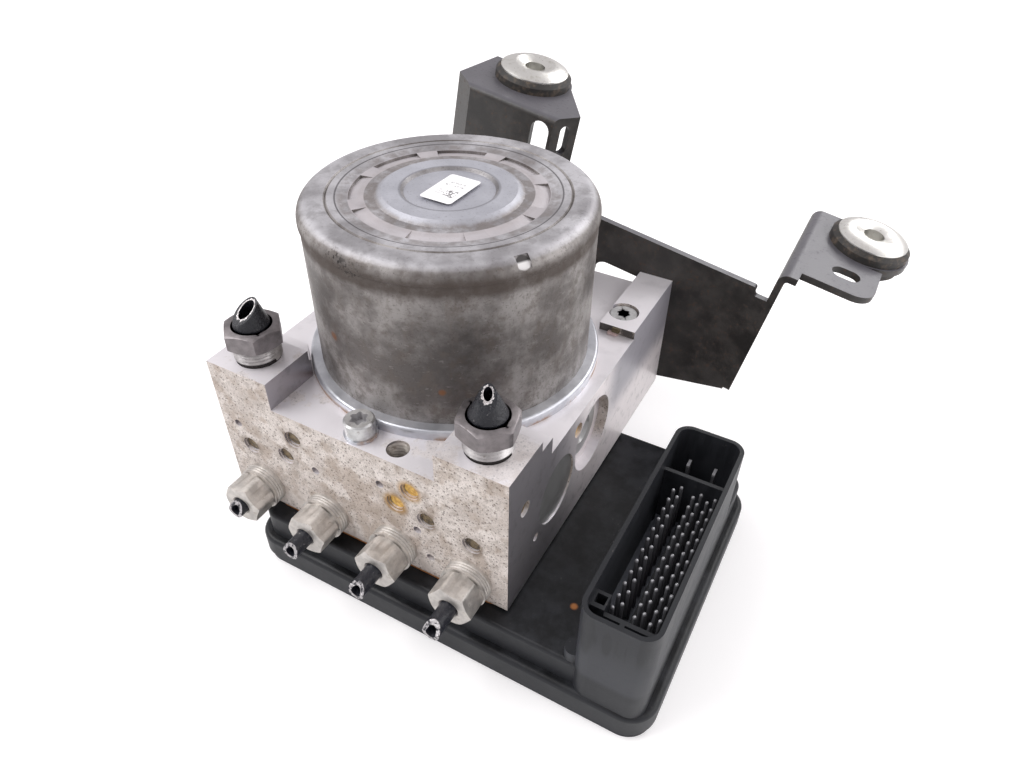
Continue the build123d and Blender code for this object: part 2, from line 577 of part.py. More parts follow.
# ---- Valve cartridges and sealing balls -----------------------------------------------------
with BuildPart() as valve_cartridges:
    with BuildSketch(Plane.XY.offset(BLOCK_BOTTOM)):
        with Locations(*VALVE_SITES):
            Circle(VALVE_RADIUS - RUNNING_GAP)
    extrude(amount=VALVE_DEPTH)
    with BuildSketch(Plane.XY.offset(BLOCK_BOTTOM)):
        with Locations(*VALVE_SITES):
            Circle(DOME_RADIUS)
    extrude(amount=-DOME_LENGTH)
valve_cartridges.part.label = "valve_cartridges"
export_step(valve_cartridges.part, "parts/valve_cartridges.step")

BALL_SEAT = 1.0
with BuildPart() as ball_plugs:
    with BuildSketch(Plane.XZ.offset(-BLOCK_FRONT - BALL_SEAT)):
        with Locations(*[(ball_x, BLOCK_BOTTOM + ball_z) for ball_x, ball_z in FRONT_BALLS]):
            Circle(BALL_HOLE_RADIUS - RUNNING_GAP)
    extrude(amount=-(BALL_HOLE_DEPTH - BALL_SEAT))
    for side in SIDES:
        face_x = BLOCK_MID_X + side * (BLOCK_WIDTH / 2 - BALL_SEAT)
        with BuildSketch(Plane(origin=(face_x, 0, 0), x_dir=(0, side, 0), z_dir=(side, 0, 0))):
            with Locations(*[(side * ball_y, BLOCK_BOTTOM + ball_z) for ball_y, ball_z in SIDE_BALLS]):
                Circle(BALL_HOLE_RADIUS - RUNNING_GAP)
        extrude(amount=-(BALL_HOLE_DEPTH - BALL_SEAT))
ball_plugs.part.label = "ball_plugs"
export_step(ball_plugs.part, "parts/ball_plugs.step")

# ---- Pump elements and accumulators, one set to each side -----------------------------------
PISTON_NOSE = 1.2
SPRING_RADIUS = 3.6
PLUG_DIMPLE_RADIUS = 4.6
PLUG_DIMPLE_DEPTH = 3.0
STORE_CUP_WALL = 1.6
STORE_SPRING_RADIUS = 6.6
STORE_CAP_SINK = 0.5
PISTON_END = PISTON_START + PISTON_LENGTH
STORE_REST = STORE_START + 0.3
STORE_PISTON_END = STORE_REST + STORE_PISTON_LENGTH
STORE_FLOOR = STORE_REST + STORE_CUP_WALL
for side, side_name in zip(SIDES, ("left", "right")):
    reach = BLOCK_WIDTH / 2 + side * BLOCK_MID_X
    pump_side = Plane(origin=(0, 0, PUMP_Z), x_dir=(0, side, 0), z_dir=(side, 0, 0))
    store_side = Plane(origin=(0, STORE_Y, STORE_Z), x_dir=(0, side, 0), z_dir=(side, 0, 0))

    with BuildPart() as pump_piston:
        with BuildSketch(pump_side.offset(PISTON_START)):
            Circle(PISTON_RADIUS)
        extrude(amount=PISTON_LENGTH)
        chamfer(pump_piston.edges().sort_by(Axis((0, 0, PUMP_Z), (side, 0, 0)))[0], length=PISTON_NOSE)
    pump_piston.part.label = f"pump_piston_{side_name}"
    export_step(pump_piston.part, f"parts/pump_piston_{side_name}.step")

    with BuildPart() as pump_spring:
        with BuildSketch(pump_side.offset(PISTON_END)):
            Circle(SPRING_RADIUS)
            Circle(SPRING_RADIUS - SPRING_WIRE, mode=Mode.SUBTRACT)
        extrude(amount=PLUG_START - PISTON_END)
    pump_spring.part.label = f"pump_spring_{side_name}"
    export_step(pump_spring.part, f"parts/pump_spring_{side_name}.step")

    with BuildPart() as pump_plug:
        with BuildSketch(pump_side.offset(PLUG_START)):
            Circle(PLUG_RADIUS - RUNNING_GAP)
        extrude(amount=reach - COUNTERBORE_DEPTH - PLUG_START)
        with BuildSketch(pump_side.offset(reach - COUNTERBORE_DEPTH)):
            Circle(PLUG_DIMPLE_RADIUS)
        extrude(amount=-PLUG_DIMPLE_DEPTH, taper=20, mode=Mode.SUBTRACT)
    pump_plug.part.label = f"pump_plug_{side_name}"
    export_step(pump_plug.part, f"parts/pump_plug_{side_name}.step")

    with BuildPart() as store_piston:
        with BuildSketch(store_side.offset(STORE_REST)):
            Circle(STORE_RADIUS)
        extrude(amount=STORE_PISTON_LENGTH)
        with BuildSketch(store_side.offset(STORE_FLOOR)):
            Circle(STORE_RADIUS - STORE_CUP_WALL)
        extrude(amount=STORE_PISTON_LENGTH, mode=Mode.SUBTRACT)
    store_piston.part.label = f"accumulator_piston_{side_name}"
    export_step(store_piston.part, f"parts/accumulator_piston_{side_name}.step")

    with BuildPart() as store_spring:
        with BuildSketch(store_side.offset(STORE_FLOOR)):
            Circle(STORE_SPRING_RADIUS)
            Circle(STORE_SPRING_RADIUS - SPRING_WIRE, mode=Mode.SUBTRACT)
        extrude(amount=reach - STORE_CAP_THICK - STORE_FLOOR)
    store_spring.part.label = f"accumulator_spring_{side_name}"
    export_step(store_spring.part, f"parts/accumulator_spring_{side_name}.step")

    with BuildPart() as store_cap:
        with BuildSketch(store_side.offset(reach - STORE_CAP_THICK)):
            Circle(STORE_CAP_RADIUS - RUNNING_GAP)
        extrude(amount=STORE_CAP_THICK - STORE_CAP_SINK)
    store_cap.part.label = f"accumulator_cap_{side_name}"
    export_step(store_cap.part, f"parts/accumulator_cap_{side_name}.step")

# ---- Motor: end plate, can and fixings ------------------------------------------------------
LOBE_RADIUS = 4.4
LOBE_THICK = 0.8
HUB_RADIUS = CHAMBER_RADIUS - RUNNING_GAP
SHAFT_CLEAR = 1.0
HUB_BOTTOM = SEAT_Z - BEARING_WIDTH - 0.8
with BuildPart() as motor_flange:
    with BuildSketch(Plane.XY.offset(SEAT_Z)):
        Circle(FLANGE_RADIUS)
    extrude(amount=FLANGE_THICK)
    fillet(motor_flange.edges().sort_by(Axis.Z)[-1], radius=0.8)
    with BuildSketch(Plane.XY.offset(SEAT_Z)):
        with Locations(*[(MOTOR_SCREW_X, screw_y) for screw_y in MOTOR_SCREW_YS]):
            Circle(LOBE_RADIUS)
    extrude(amount=LOBE_THICK)
    with BuildSketch(Plane.XY.offset(HUB_BOTTOM)):
        Circle(HUB_RADIUS)
    extrude(amount=SEAT_Z - HUB_BOTTOM)
    with BuildSketch(Plane.XY.offset(HUB_BOTTOM)):
        Circle(BEARING_RADIUS + RUNNING_GAP)
    extrude(amount=BEARING_WIDTH + RUNNING_GAP, mode=Mode.SUBTRACT)
    with BuildSketch(Plane.XY.offset(HUB_BOTTOM)):
        Circle(SHAFT_RADIUS + SHAFT_CLEAR)
    extrude(amount=FLANGE_TOP - HUB_BOTTOM, mode=Mode.SUBTRACT)
    with BuildSketch(Plane.XY.offset(SEAT_Z)):
        with Locations((0, SLEEVE_Y)):
            Circle(SLEEVE_RADIUS)
        with Locations(*[(MOTOR_SCREW_X, screw_y) for screw_y in MOTOR_SCREW_YS]):
            Circle(MOTOR_SCREW_RADIUS)
    extrude(amount=FLANGE_THICK, mode=Mode.SUBTRACT)
    # Reliefs that let the screw heads stand on their lobes.
    with BuildSketch(Plane.XY.offset(SEAT_Z + LOBE_THICK)):
        with Locations(*[(MOTOR_SCREW_X, screw_y) for screw_y in MOTOR_SCREW_YS]):
            Circle(LOBE_RADIUS)
    extrude(amount=FLANGE_THICK, mode=Mode.SUBTRACT)
motor_flange.part.label = "motor_flange"
export_step(motor_flange.part, "parts/motor_flange.step")

BAND_HEIGHT = 4.8
BAND_STEP = 0.4
CAN_BORE = CAN_RADIUS - CAN_WALL
GROOVE_RADIUS = CAN_RADIUS - 7.4
GROOVE_WIDTH = 0.8
GROOVE_DEPTH = 0.5
CHANNEL_RADIUS = CAN_RADIUS - 9.4
CHANNEL_SLOPE = 1.6
CHANNEL_DEPTH = 0.5
DISC_EDGE_RADIUS = CAN_RADIUS / 2
DISC_RADIUS = DISC_EDGE_RADIUS - 1.8
DISC_RISE = 0.6
CUP_RADIUS = 12.4
CUP_DIP = 0.8
PAD_COUNT = 8
PAD_INNER = CAN_RADIUS - 16.4
PAD_OUTER = CAN_RADIUS - 12.6
PAD_ARC = 32.0
PAD_START = 8.5
PAD_SINK = 0.8
WINDOW_ANGLE = -32.0
WINDOW_WIDTH = 3.4
WINDOW_HEIGHT = 3.4
WINDOW_SINK = 0.6
WINDOW_TILT = 45.0
with BuildPart() as motor_can:
    with BuildSketch(Plane.XZ):
        with BuildLine():
            Polyline(
                (0, CAN_TOP - CAN_WALL),
                (CAN_BORE, CAN_TOP - CAN_WALL),
                (CAN_BORE, FLANGE_TOP),
                (CAN_RADIUS, FLANGE_TOP),
                (CAN_RADIUS, CAN_TOP - BAND_HEIGHT),
                (CAN_RADIUS + BAND_STEP, CAN_TOP - BAND_HEIGHT + BAND_STEP),
                (CAN_RADIUS + BAND_STEP, CAN_TOP - CAN_ROUND),
            )
            RadiusArc(
                (CAN_RADIUS + BAND_STEP, CAN_TOP - CAN_ROUND),
                (CAN_RADIUS + BAND_STEP - CAN_ROUND, CAN_TOP),
                -CAN_ROUND,
            )
            Polyline(
                (CAN_RADIUS + BAND_STEP - CAN_ROUND, CAN_TOP),
                (GROOVE_RADIUS + GROOVE_WIDTH, CAN_TOP),
                (GROOVE_RADIUS + GROOVE_WIDTH / 2, CAN_TOP - GROOVE_DEPTH),
                (GROOVE_RADIUS, CAN_TOP),
                (CHANNEL_RADIUS, CAN_TOP),
                (CHANNEL_RADIUS - CHANNEL_SLOPE, CAN_TOP - CHANNEL_DEPTH),
                (DISC_EDGE_RADIUS, CAN_TOP - CHANNEL_DEPTH),
                (DISC_RADIUS, CAN_TOP + DISC_RISE),
                (CUP_RADIUS, CAN_TOP + DISC_RISE),
                (CUP_RADIUS - CUP_DIP, CAN_TOP + DISC_RISE - CUP_DIP),
                (0, CAN_TOP + DISC_RISE - CUP_DIP),
                (0, CAN_TOP - CAN_WALL),
            )
        make_face()
    revolve(axis=Axis.Z)
    # Eight pads pressed into the channel, each falling towards its outer edge.
    for index in range(PAD_COUNT):
        pad_angle = math.radians(PAD_START + index * 360 / PAD_COUNT)
        pad_plane = Plane(
            origin=(0, 0, 0),
            x_dir=(math.cos(pad_angle), math.sin(pad_angle), 0),
            z_dir=(math.sin(pad_angle), -math.cos(pad_angle), 0),
        )
        with BuildSketch(pad_plane):
            with BuildLine():
                Polyline(
                    (PAD_INNER, CAN_TOP - CHANNEL_DEPTH),
                    (PAD_OUTER, CAN_TOP - CHANNEL_DEPTH - PAD_SINK),
                    (PAD_OUTER, CAN_TOP),
                    (PAD_INNER, CAN_TOP),
                    close=True,
                )
            make_face()
        revolve(axis=Axis.Z, revolution_arc=PAD_ARC, mode=Mode.SUBTRACT)
    # Square window pressed into the rounded band.
    window_angle = math.radians(WINDOW_ANGLE)
    window_tilt = math.radians(WINDOW_TILT)
    round_radius = CAN_RADIUS + BAND_STEP - CAN_ROUND
    window_reach = round_radius + (CAN_ROUND - WINDOW_SINK) * math.cos(window_tilt)
    window_plane = Plane(
        origin=(
            window_reach * math.cos(window_angle),
            window_reach * math.sin(window_angle),
            CAN_TOP - CAN_ROUND + (CAN_ROUND - WINDOW_SINK) * math.sin(window_tilt),
        ),
        x_dir=(-math.sin(window_angle), math.cos(window_angle), 0),
        z_dir=(
            math.cos(window_angle) * math.cos(window_tilt),
            math.sin(window_angle) * math.cos(window_tilt),
            math.sin(window_tilt),
        ),
    )
    with BuildSketch(window_plane):
        Rectangle(WINDOW_WIDTH, WINDOW_HEIGHT)
    extrude(amount=2 * CAN_ROUND, mode=Mode.SUBTRACT)
motor_can.part.label = "motor_can"
export_step(motor_can.part, "parts/motor_can.step")

MOTOR_HEAD_RADIUS = 4.0
MOTOR_HEAD_HEIGHT = 4.4
MOTOR_KEY_RADIUS = 2.2
MOTOR_KEY_DEPTH = 2.0
HEAD_SEAT = SEAT_Z + LOBE_THICK
with BuildPart() as motor_screws:
    with BuildSketch(Plane.XY.offset(HEAD_SEAT)):
        with Locations(*[(MOTOR_SCREW_X, screw_y) for screw_y in MOTOR_SCREW_YS]):
            Circle(MOTOR_HEAD_RADIUS)
    extrude(amount=MOTOR_HEAD_HEIGHT)
    chamfer(motor_screws.edges().group_by(Axis.Z)[-1], length=0.4)
    with BuildSketch(Plane.XY.offset(HEAD_SEAT + MOTOR_HEAD_HEIGHT)):
        with Locations(*[(MOTOR_SCREW_X, screw_y) for screw_y in MOTOR_SCREW_YS]):
            RegularPolygon(MOTOR_KEY_RADIUS, 6)
    extrude(amount=-MOTOR_KEY_DEPTH, mode=Mode.SUBTRACT)
    with BuildSketch(Plane.XY.offset(HEAD_SEAT)):
        with Locations(*[(MOTOR_SCREW_X, screw_y) for screw_y in MOTOR_SCREW_YS]):
            Circle(MOTOR_SCREW_RADIUS - RUNNING_GAP)
    extrude(amount=-(MOTOR_SCREW_DEPTH - 1.0))
motor_screws.part.label = "motor_screws"
export_step(motor_screws.part, "parts/motor_screws.step")

POST_KEY_RADIUS = 2.4
POST_KEY_DEPTH = 1.8
with BuildPart() as post_screws:
    with BuildSketch(Plane.XY.offset(REAR_POST_TOP - POST_SINK_DEPTH - POST_HEAD_DEPTH)):
        with Locations(*[(screw_x, POST_SCREW_Y) for screw_x in POST_SCREW_XS]):
            Circle(POST_SINK_RADIUS - 3 * RUNNING_GAP)
    extrude(amount=POST_HEAD_DEPTH)
    with BuildSketch(Plane.XY.offset(REAR_POST_TOP - POST_SINK_DEPTH)):
        with Locations(*[(screw_x, POST_SCREW_Y) for screw_x in POST_SCREW_XS]):
            RegularPolygon(POST_KEY_RADIUS, 6)
    extrude(amount=-POST_KEY_DEPTH, mode=Mode.SUBTRACT)
    with BuildSketch(Plane.XY.offset(REAR_POST_TOP - POST_SINK_DEPTH - POST_HEAD_DEPTH)):
        with Locations(*[(screw_x, POST_SCREW_Y) for screw_x in POST_SCREW_XS]):
            Circle(POST_SHANK_RADIUS - RUNNING_GAP)
    extrude(amount=-(POST_SHANK_LENGTH - 1.0))
post_screws.part.label = "post_screws"
export_step(post_screws.part, "parts/post_screws.step")

# ---- Motor: rotor ---------------------------------------------------------------------------
SHAFT_BOTTOM = PUMP_Z - ECCENTRIC_WIDTH + 0.6
ARMATURE_BOTTOM = FLANGE_TOP + 15.3
ARMATURE_TOP = CAN_TOP - 9.7
WINDING_HEIGHT = 3.5
ARMATURE_RADIUS = CAN_RADIUS - 10.0
WINDING_RADIUS = ARMATURE_RADIUS - 3.0
SHAFT_BORE = SHAFT_RADIUS + RUNNING_GAP / 5
COMMUTATOR_RADIUS = 9.0
COMMUTATOR_BOTTOM = FLANGE_TOP + 2.5
COMMUTATOR_HEIGHT = 8.4
SLOT_COUNT = 10
SLOT_DEPTH = 7.0
SLOT_WIDTH = 2.4
TOP_BEARING_HEIGHT = 3.8
TOP_BEARING_RADIUS = 7.0
SHAFT_TOP = CAN_TOP - CAN_WALL - 0.3
with BuildPart() as rotor_shaft:
    with BuildSketch(Plane.XY.offset(SHAFT_BOTTOM)):
        Circle(SHAFT_RADIUS)
    extrude(amount=SHAFT_TOP - SHAFT_BOTTOM)
rotor_shaft.part.label = "rotor_shaft"
export_step(rotor_shaft.part, "parts/rotor_shaft.step")

with BuildPart() as pump_eccentric:
    with BuildSketch(Plane.XY.offset(PUMP_Z - ECCENTRIC_WIDTH / 2)):
        with Locations((ECCENTRICITY, 0)):
            Circle(ECCENTRIC_RADIUS)
        Circle(SHAFT_BORE, mode=Mode.SUBTRACT)
    extrude(amount=ECCENTRIC_WIDTH)
pump_eccentric.part.label = "pump_eccentric"
export_step(pump_eccentric.part, "parts/pump_eccentric.step")

with BuildPart() as eccentric_ring:
    with BuildSketch(Plane.XY.offset(PUMP_Z - ECCENTRIC_WIDTH / 2)):
        with Locations((ECCENTRICITY, 0)):
            Circle(RING_RADIUS)
            Circle(ECCENTRIC_RADIUS + RUNNING_GAP, mode=Mode.SUBTRACT)
    extrude(amount=ECCENTRIC_WIDTH)
eccentric_ring.part.label = "eccentric_ring"
export_step(eccentric_ring.part, "parts/eccentric_ring.step")

with BuildPart() as armature_core:
    with BuildSketch(Plane.XY.offset(ARMATURE_BOTTOM)):
        Circle(ARMATURE_RADIUS)
        with PolarLocations(ARMATURE_RADIUS - SLOT_DEPTH / 2, SLOT_COUNT):
            Rectangle(SLOT_DEPTH + 1.0, SLOT_WIDTH, mode=Mode.SUBTRACT)
        Circle(SHAFT_BORE, mode=Mode.SUBTRACT)
    extrude(amount=ARMATURE_TOP - ARMATURE_BOTTOM)
armature_core.part.label = "armature_core"
export_step(armature_core.part, "parts/armature_core.step")

with BuildPart() as armature_windings:
    for winding_bottom in (ARMATURE_BOTTOM - WINDING_HEIGHT, ARMATURE_TOP):
        with BuildSketch(Plane.XY.offset(winding_bottom)):
            Circle(WINDING_RADIUS)
            Circle(SHAFT_RADIUS + SHAFT_CLEAR, mode=Mode.SUBTRACT)
        extrude(amount=WINDING_HEIGHT)
armature_windings.part.label = "armature_windings"
export_step(armature_windings.part, "parts/armature_windings.step")

with BuildPart() as commutator:
    with BuildSketch(Plane.XY.offset(COMMUTATOR_BOTTOM)):
        Circle(COMMUTATOR_RADIUS)
        Circle(SHAFT_BORE, mode=Mode.SUBTRACT)
    extrude(amount=COMMUTATOR_HEIGHT)
commutator.part.label = "commutator"
export_step(commutator.part, "parts/commutator.step")

# ---- Motor: stator side ---------------------------------------------------------------------
MAGNET_RADIUS = CAN_BORE - RUNNING_GAP
MAGNET_THICK = 6.6
MAGNET_MARGIN = 2.0
MAGNET_BOTTOM = ARMATURE_BOTTOM - MAGNET_MARGIN
MAGNET_HEIGHT = ARMATURE_TOP - ARMATURE_BOTTOM + 2 * MAGNET_MARGIN
MAGNET_GAP = 16.0
with BuildPart() as field_magnets:
    with BuildSketch(Plane.XY.offset(MAGNET_BOTTOM)):
        Circle(MAGNET_RADIUS)
        Circle(MAGNET_RADIUS - MAGNET_THICK, mode=Mode.SUBTRACT)
        Rectangle(2 * CAN_RADIUS, MAGNET_GAP, mode=Mode.SUBTRACT)
    extrude(amount=MAGNET_HEIGHT)
field_magnets.part.label = "field_magnets"
export_step(field_magnets.part, "parts/field_magnets.step")

HOLDER_RADIUS = CAN_BORE - 0.3
HOLDER_BORE = COMMUTATOR_RADIUS + 1.5
HOLDER_THICK = 2.0
GUIDE_WALL = 1.2
GUIDE_LENGTH = 16.0
BRUSH_SIZE = 6.0
BRUSH_LENGTH = 9.0
BRUSH_START = COMMUTATOR_RADIUS + 0.3
BRUSH_BOTTOM = FLANGE_TOP + HOLDER_THICK
GUIDE_START = BRUSH_START + 2.0
GUIDE_END = GUIDE_START + GUIDE_LENGTH
GUIDE_MID = (GUIDE_START + GUIDE_END) / 2
with BuildPart() as brush_holder:
    with BuildSketch(Plane.XY.offset(FLANGE_TOP)):
        Circle(HOLDER_RADIUS)
        Circle(HOLDER_BORE, mode=Mode.SUBTRACT)
    extrude(amount=HOLDER_THICK)
    with BuildSketch(Plane.XY.offset(BRUSH_BOTTOM)):
        with Locations(*[(side * GUIDE_MID, 0) for side in SIDES]):
            Rectangle(GUIDE_LENGTH, BRUSH_SIZE + 2 * GUIDE_WALL)
        with Locations(*[(side * (GUIDE_MID - GUIDE_WALL), 0) for side in SIDES]):
            Rectangle(GUIDE_LENGTH, BRUSH_SIZE, mode=Mode.SUBTRACT)
    extrude(amount=BRUSH_SIZE)
brush_holder.part.label = "brush_holder"
export_step(brush_holder.part, "parts/brush_holder.step")

with BuildPart() as brushes:
    with BuildSketch(Plane.XY.offset(BRUSH_BOTTOM)):
        with Locations(*[(side * (BRUSH_START + BRUSH_LENGTH / 2), 0) for side in SIDES]):
            Rectangle(BRUSH_LENGTH, BRUSH_SIZE)
    extrude(amount=BRUSH_SIZE)
brushes.part.label = "brushes"
export_step(brushes.part, "parts/brushes.step")

BRUSH_SPRING_RADIUS = 2.4
BRUSH_END = BRUSH_START + BRUSH_LENGTH
with BuildPart() as brush_springs:
    for side in SIDES:
        spring_plane = Plane(
            origin=(side * BRUSH_END, 0, BRUSH_BOTTOM + BRUSH_SIZE / 2),
            x_dir=(0, side, 0),
            z_dir=(side, 0, 0),
        )
        with BuildSketch(spring_plane):
            Circle(BRUSH_SPRING_RADIUS)
            Circle(BRUSH_SPRING_RADIUS - SPRING_WIRE, mode=Mode.SUBTRACT)
        extrude(amount=GUIDE_END - GUIDE_WALL - BRUSH_END)
brush_springs.part.label = "brush_springs"
export_step(brush_springs.part, "parts/brush_springs.step")

with BuildPart() as lower_bearing:
    with BuildSketch(Plane.XY.offset(HUB_BOTTOM)):
        Circle(BEARING_RADIUS)
        Circle(SHAFT_RADIUS + RUNNING_GAP, mode=Mode.SUBTRACT)
    extrude(amount=BEARING_WIDTH)
lower_bearing.part.label = "lower_bearing"
export_step(lower_bearing.part, "parts/lower_bearing.step")

with BuildPart() as upper_bearing:
    with BuildSketch(Plane.XY.offset(CAN_TOP - CAN_WALL)):
        Circle(TOP_BEARING_RADIUS)
        Circle(SHAFT_RADIUS + RUNNING_GAP, mode=Mode.SUBTRACT)
    extrude(amount=-TOP_BEARING_HEIGHT)
upper_bearing.part.label = "upper_bearing"
export_step(upper_bearing.part, "parts/upper_bearing.step")

with BuildPart() as motor_lead_sleeve:
    with BuildSketch(Plane.XY.offset(BOARD_TOP)):
        with Locations((0, SLEEVE_Y)):
            Circle(SLEEVE_RADIUS - RUNNING_GAP)
    extrude(amount=FLANGE_TOP - BOARD_TOP)
motor_lead_sleeve.part.label = "motor_lead_sleeve"
export_step(motor_lead_sleeve.part, "parts/motor_lead_sleeve.step")

# ---- Line nuts and the cut brake tubes that stay in them ------------------------------------
NUT_CHAMFER = 0.9
POST_NUT_TOP = POST_TOP + POST_THREAD_SHOWN + POST_HEX_HEIGHT
POST_NUT_RECESS = 4.9
POST_NUT_RECESS_DEPTH = 1.6
POST_NUT_SITES = [(BLOCK_MID_X + side * POST_PORT_X, POST_PORT_Y) for side in SIDES]
with BuildPart() as post_port_nuts:
    for nut_site, turn in zip(POST_NUT_SITES, POST_HEX_TURNS):
        with BuildSketch(Plane.XY.offset(POST_TOP + POST_THREAD_SHOWN)):
            with Locations(nut_site):
                RegularPolygon(POST_HEX_FLAT, 6, major_radius=False, rotation=turn)
        extrude(amount=POST_HEX_HEIGHT)
    chamfer(post_port_nuts.edges().group_by(Axis.Z)[-1], length=NUT_CHAMFER)
    with BuildSketch(Plane.XY.offset(POST_TOP + POST_THREAD_SHOWN)):
        with Locations(*POST_NUT_SITES):
            Circle(PORT_THREAD_RADIUS)
    extrude(amount=-(POST_THREAD_LENGTH + POST_THREAD_SHOWN - 2.0))
    with BuildSketch(Plane.XY.offset(POST_NUT_TOP)):
        with Locations(*POST_NUT_SITES):
            Circle(POST_NUT_RECESS)
    extrude(amount=-POST_NUT_RECESS_DEPTH, mode=Mode.SUBTRACT)
    with BuildSketch(Plane.XY.offset(POST_NUT_TOP)):
        with Locations(*POST_NUT_SITES):
            Circle(TUBE_RADIUS + RUNNING_GAP)
    extrude(amount=-(POST_THREAD_LENGTH + POST_THREAD_SHOWN + POST_HEX_HEIGHT), mode=Mode.SUBTRACT)
post_port_nuts.part.label = "post_port_nuts"
export_step(post_port_nuts.part, "parts/post_port_nuts.step")

STUB_DEPTH = 10.0
STUB_FOOT = POST_NUT_TOP - POST_NUT_RECESS_DEPTH
STUB_SHOULDER_RADIUS = 4.7
STUB_SHOULDER_HEIGHT = 2.0
STUB_TIP_HEIGHT = 10.4
STUB_WALL = 0.7
STUB_BORE_FOOT = 1.0
STUB_TIP_RADII = (1.9, 0.9)
STUB_HEIGHTS = (6.4, 8.4)
STUB_CUT_DEGREES = (38.0, 47.0)
STUB_CUT_FACING = (-23.0, 25.0)
CUTTER_SIZE = 40.0
for side, side_name, tip_radius, height, cut_angle, facing in zip(
    SIDES, ("left", "right"), STUB_TIP_RADII, STUB_HEIGHTS, STUB_CUT_DEGREES, STUB_CUT_FACING
):
    site = (BLOCK_MID_X + side * POST_PORT_X, POST_PORT_Y)
    with BuildPart() as post_tube:
        with BuildSketch(Plane(origin=(*site, 0), x_dir=(1, 0, 0), z_dir=(0, -1, 0))):
            with BuildLine():
                Polyline(
                    (TUBE_BORE, POST_TOP - STUB_DEPTH),
                    (TUBE_RADIUS, POST_TOP - STUB_DEPTH),
                    (TUBE_RADIUS, STUB_FOOT),
                    (STUB_SHOULDER_RADIUS, STUB_FOOT),
                    (STUB_SHOULDER_RADIUS, STUB_FOOT + STUB_SHOULDER_HEIGHT),
                    (tip_radius, STUB_FOOT + STUB_TIP_HEIGHT),
                    (tip_radius - STUB_WALL, STUB_FOOT + STUB_TIP_HEIGHT),
                    (STUB_SHOULDER_RADIUS - 2 * STUB_WALL, STUB_FOOT + STUB_SHOULDER_HEIGHT),
                    (TUBE_BORE, STUB_FOOT + STUB_BORE_FOOT),
                    close=True,
                )
            make_face()
        revolve(axis=Axis((*site, 0), (0, 0, 1)))
        tip = Location((*site, STUB_FOOT + height), (0, 0, facing)) * Location((0, 0, 0), (cut_angle, 0, 0))
        with BuildSketch(Plane(tip)):
            Rectangle(CUTTER_SIZE, CUTTER_SIZE)
        extrude(amount=CUTTER_SIZE, mode=Mode.SUBTRACT)
    post_tube.part.label = f"post_tube_{side_name}"
    export_step(post_tube.part, f"parts/post_tube_{side_name}.step")

FRONT_NUT_SITES = [(BLOCK_MID_X + port_x, FRONT_PORT_Z) for port_x in FRONT_PORT_XS]
FRONT_HEX_START = FRONT_COLLAR_LENGTH - BLOCK_FRONT
FRONT_NUT_END = FRONT_HEX_START + FRONT_HEX_LENGTH
with BuildPart() as front_port_nuts:
    with BuildSketch(Plane.XZ.offset(-BLOCK_FRONT)):
        with Locations(*FRONT_NUT_SITES):
            Circle(FRONT_COLLAR_RADIUS)
    extrude(amount=FRONT_COLLAR_LENGTH)
    with BuildSketch(Plane.XZ.offset(FRONT_HEX_START)):
        with Locations(*FRONT_NUT_SITES):
            RegularPolygon(FRONT_HEX_FLAT, 6, major_radius=False, rotation=20)
    extrude(amount=FRONT_HEX_LENGTH)
    chamfer(front_port_nuts.edges().group_by(Axis.Y)[0], length=NUT_CHAMFER)
    with BuildSketch(Plane.XZ.offset(-BLOCK_FRONT)):
        with Locations(*FRONT_NUT_SITES):
            Circle(FRONT_THREAD_RADIUS)
    extrude(amount=-FRONT_THREAD_LENGTH)
    with BuildSketch(Plane.XZ.offset(FRONT_NUT_END)):
        with Locations(*FRONT_NUT_SITES):
            Circle(FRONT_TUBE_RADIUS + RUNNING_GAP)
    extrude(amount=-(FRONT_NUT_END + BLOCK_FRONT + FRONT_THREAD_LENGTH), mode=Mode.SUBTRACT)
front_port_nuts.part.label = "front_port_nuts"
export_step(front_port_nuts.part, "parts/front_port_nuts.step")

FRONT_STUBS = (2.5, 6.0, 7.5, 8.0)
FRONT_STUB_CUTS = (38.0, 30.0, 42.0, 48.0)
FRONT_TUBE_START = FRONT_NUT_END - FRONT_HEX_LENGTH - FRONT_COLLAR_LENGTH
with BuildPart() as front_tubes:
    for nut_site, stub, cut_angle in zip(FRONT_NUT_SITES, FRONT_STUBS, FRONT_STUB_CUTS):
        with BuildSketch(Plane.XZ.offset(FRONT_TUBE_START)):
            with Locations(nut_site):
                Circle(FRONT_TUBE_RADIUS)
                Circle(FRONT_TUBE_BORE, mode=Mode.SUBTRACT)
        extrude(amount=FRONT_NUT_END - FRONT_TUBE_START + stub)
        tip = Location((nut_site[0], -(FRONT_NUT_END + stub), nut_site[1]), (90 - cut_angle, 0, 0))
        with BuildSketch(Plane(tip)):
            Rectangle(4 * FRONT_TUBE_RADIUS, 6 * FRONT_TUBE_RADIUS)
        extrude(amount=4 * FRONT_TUBE_RADIUS, mode=Mode.SUBTRACT)
front_tubes.part.label = "front_tubes"
export_step(front_tubes.part, "parts/front_tubes.step")

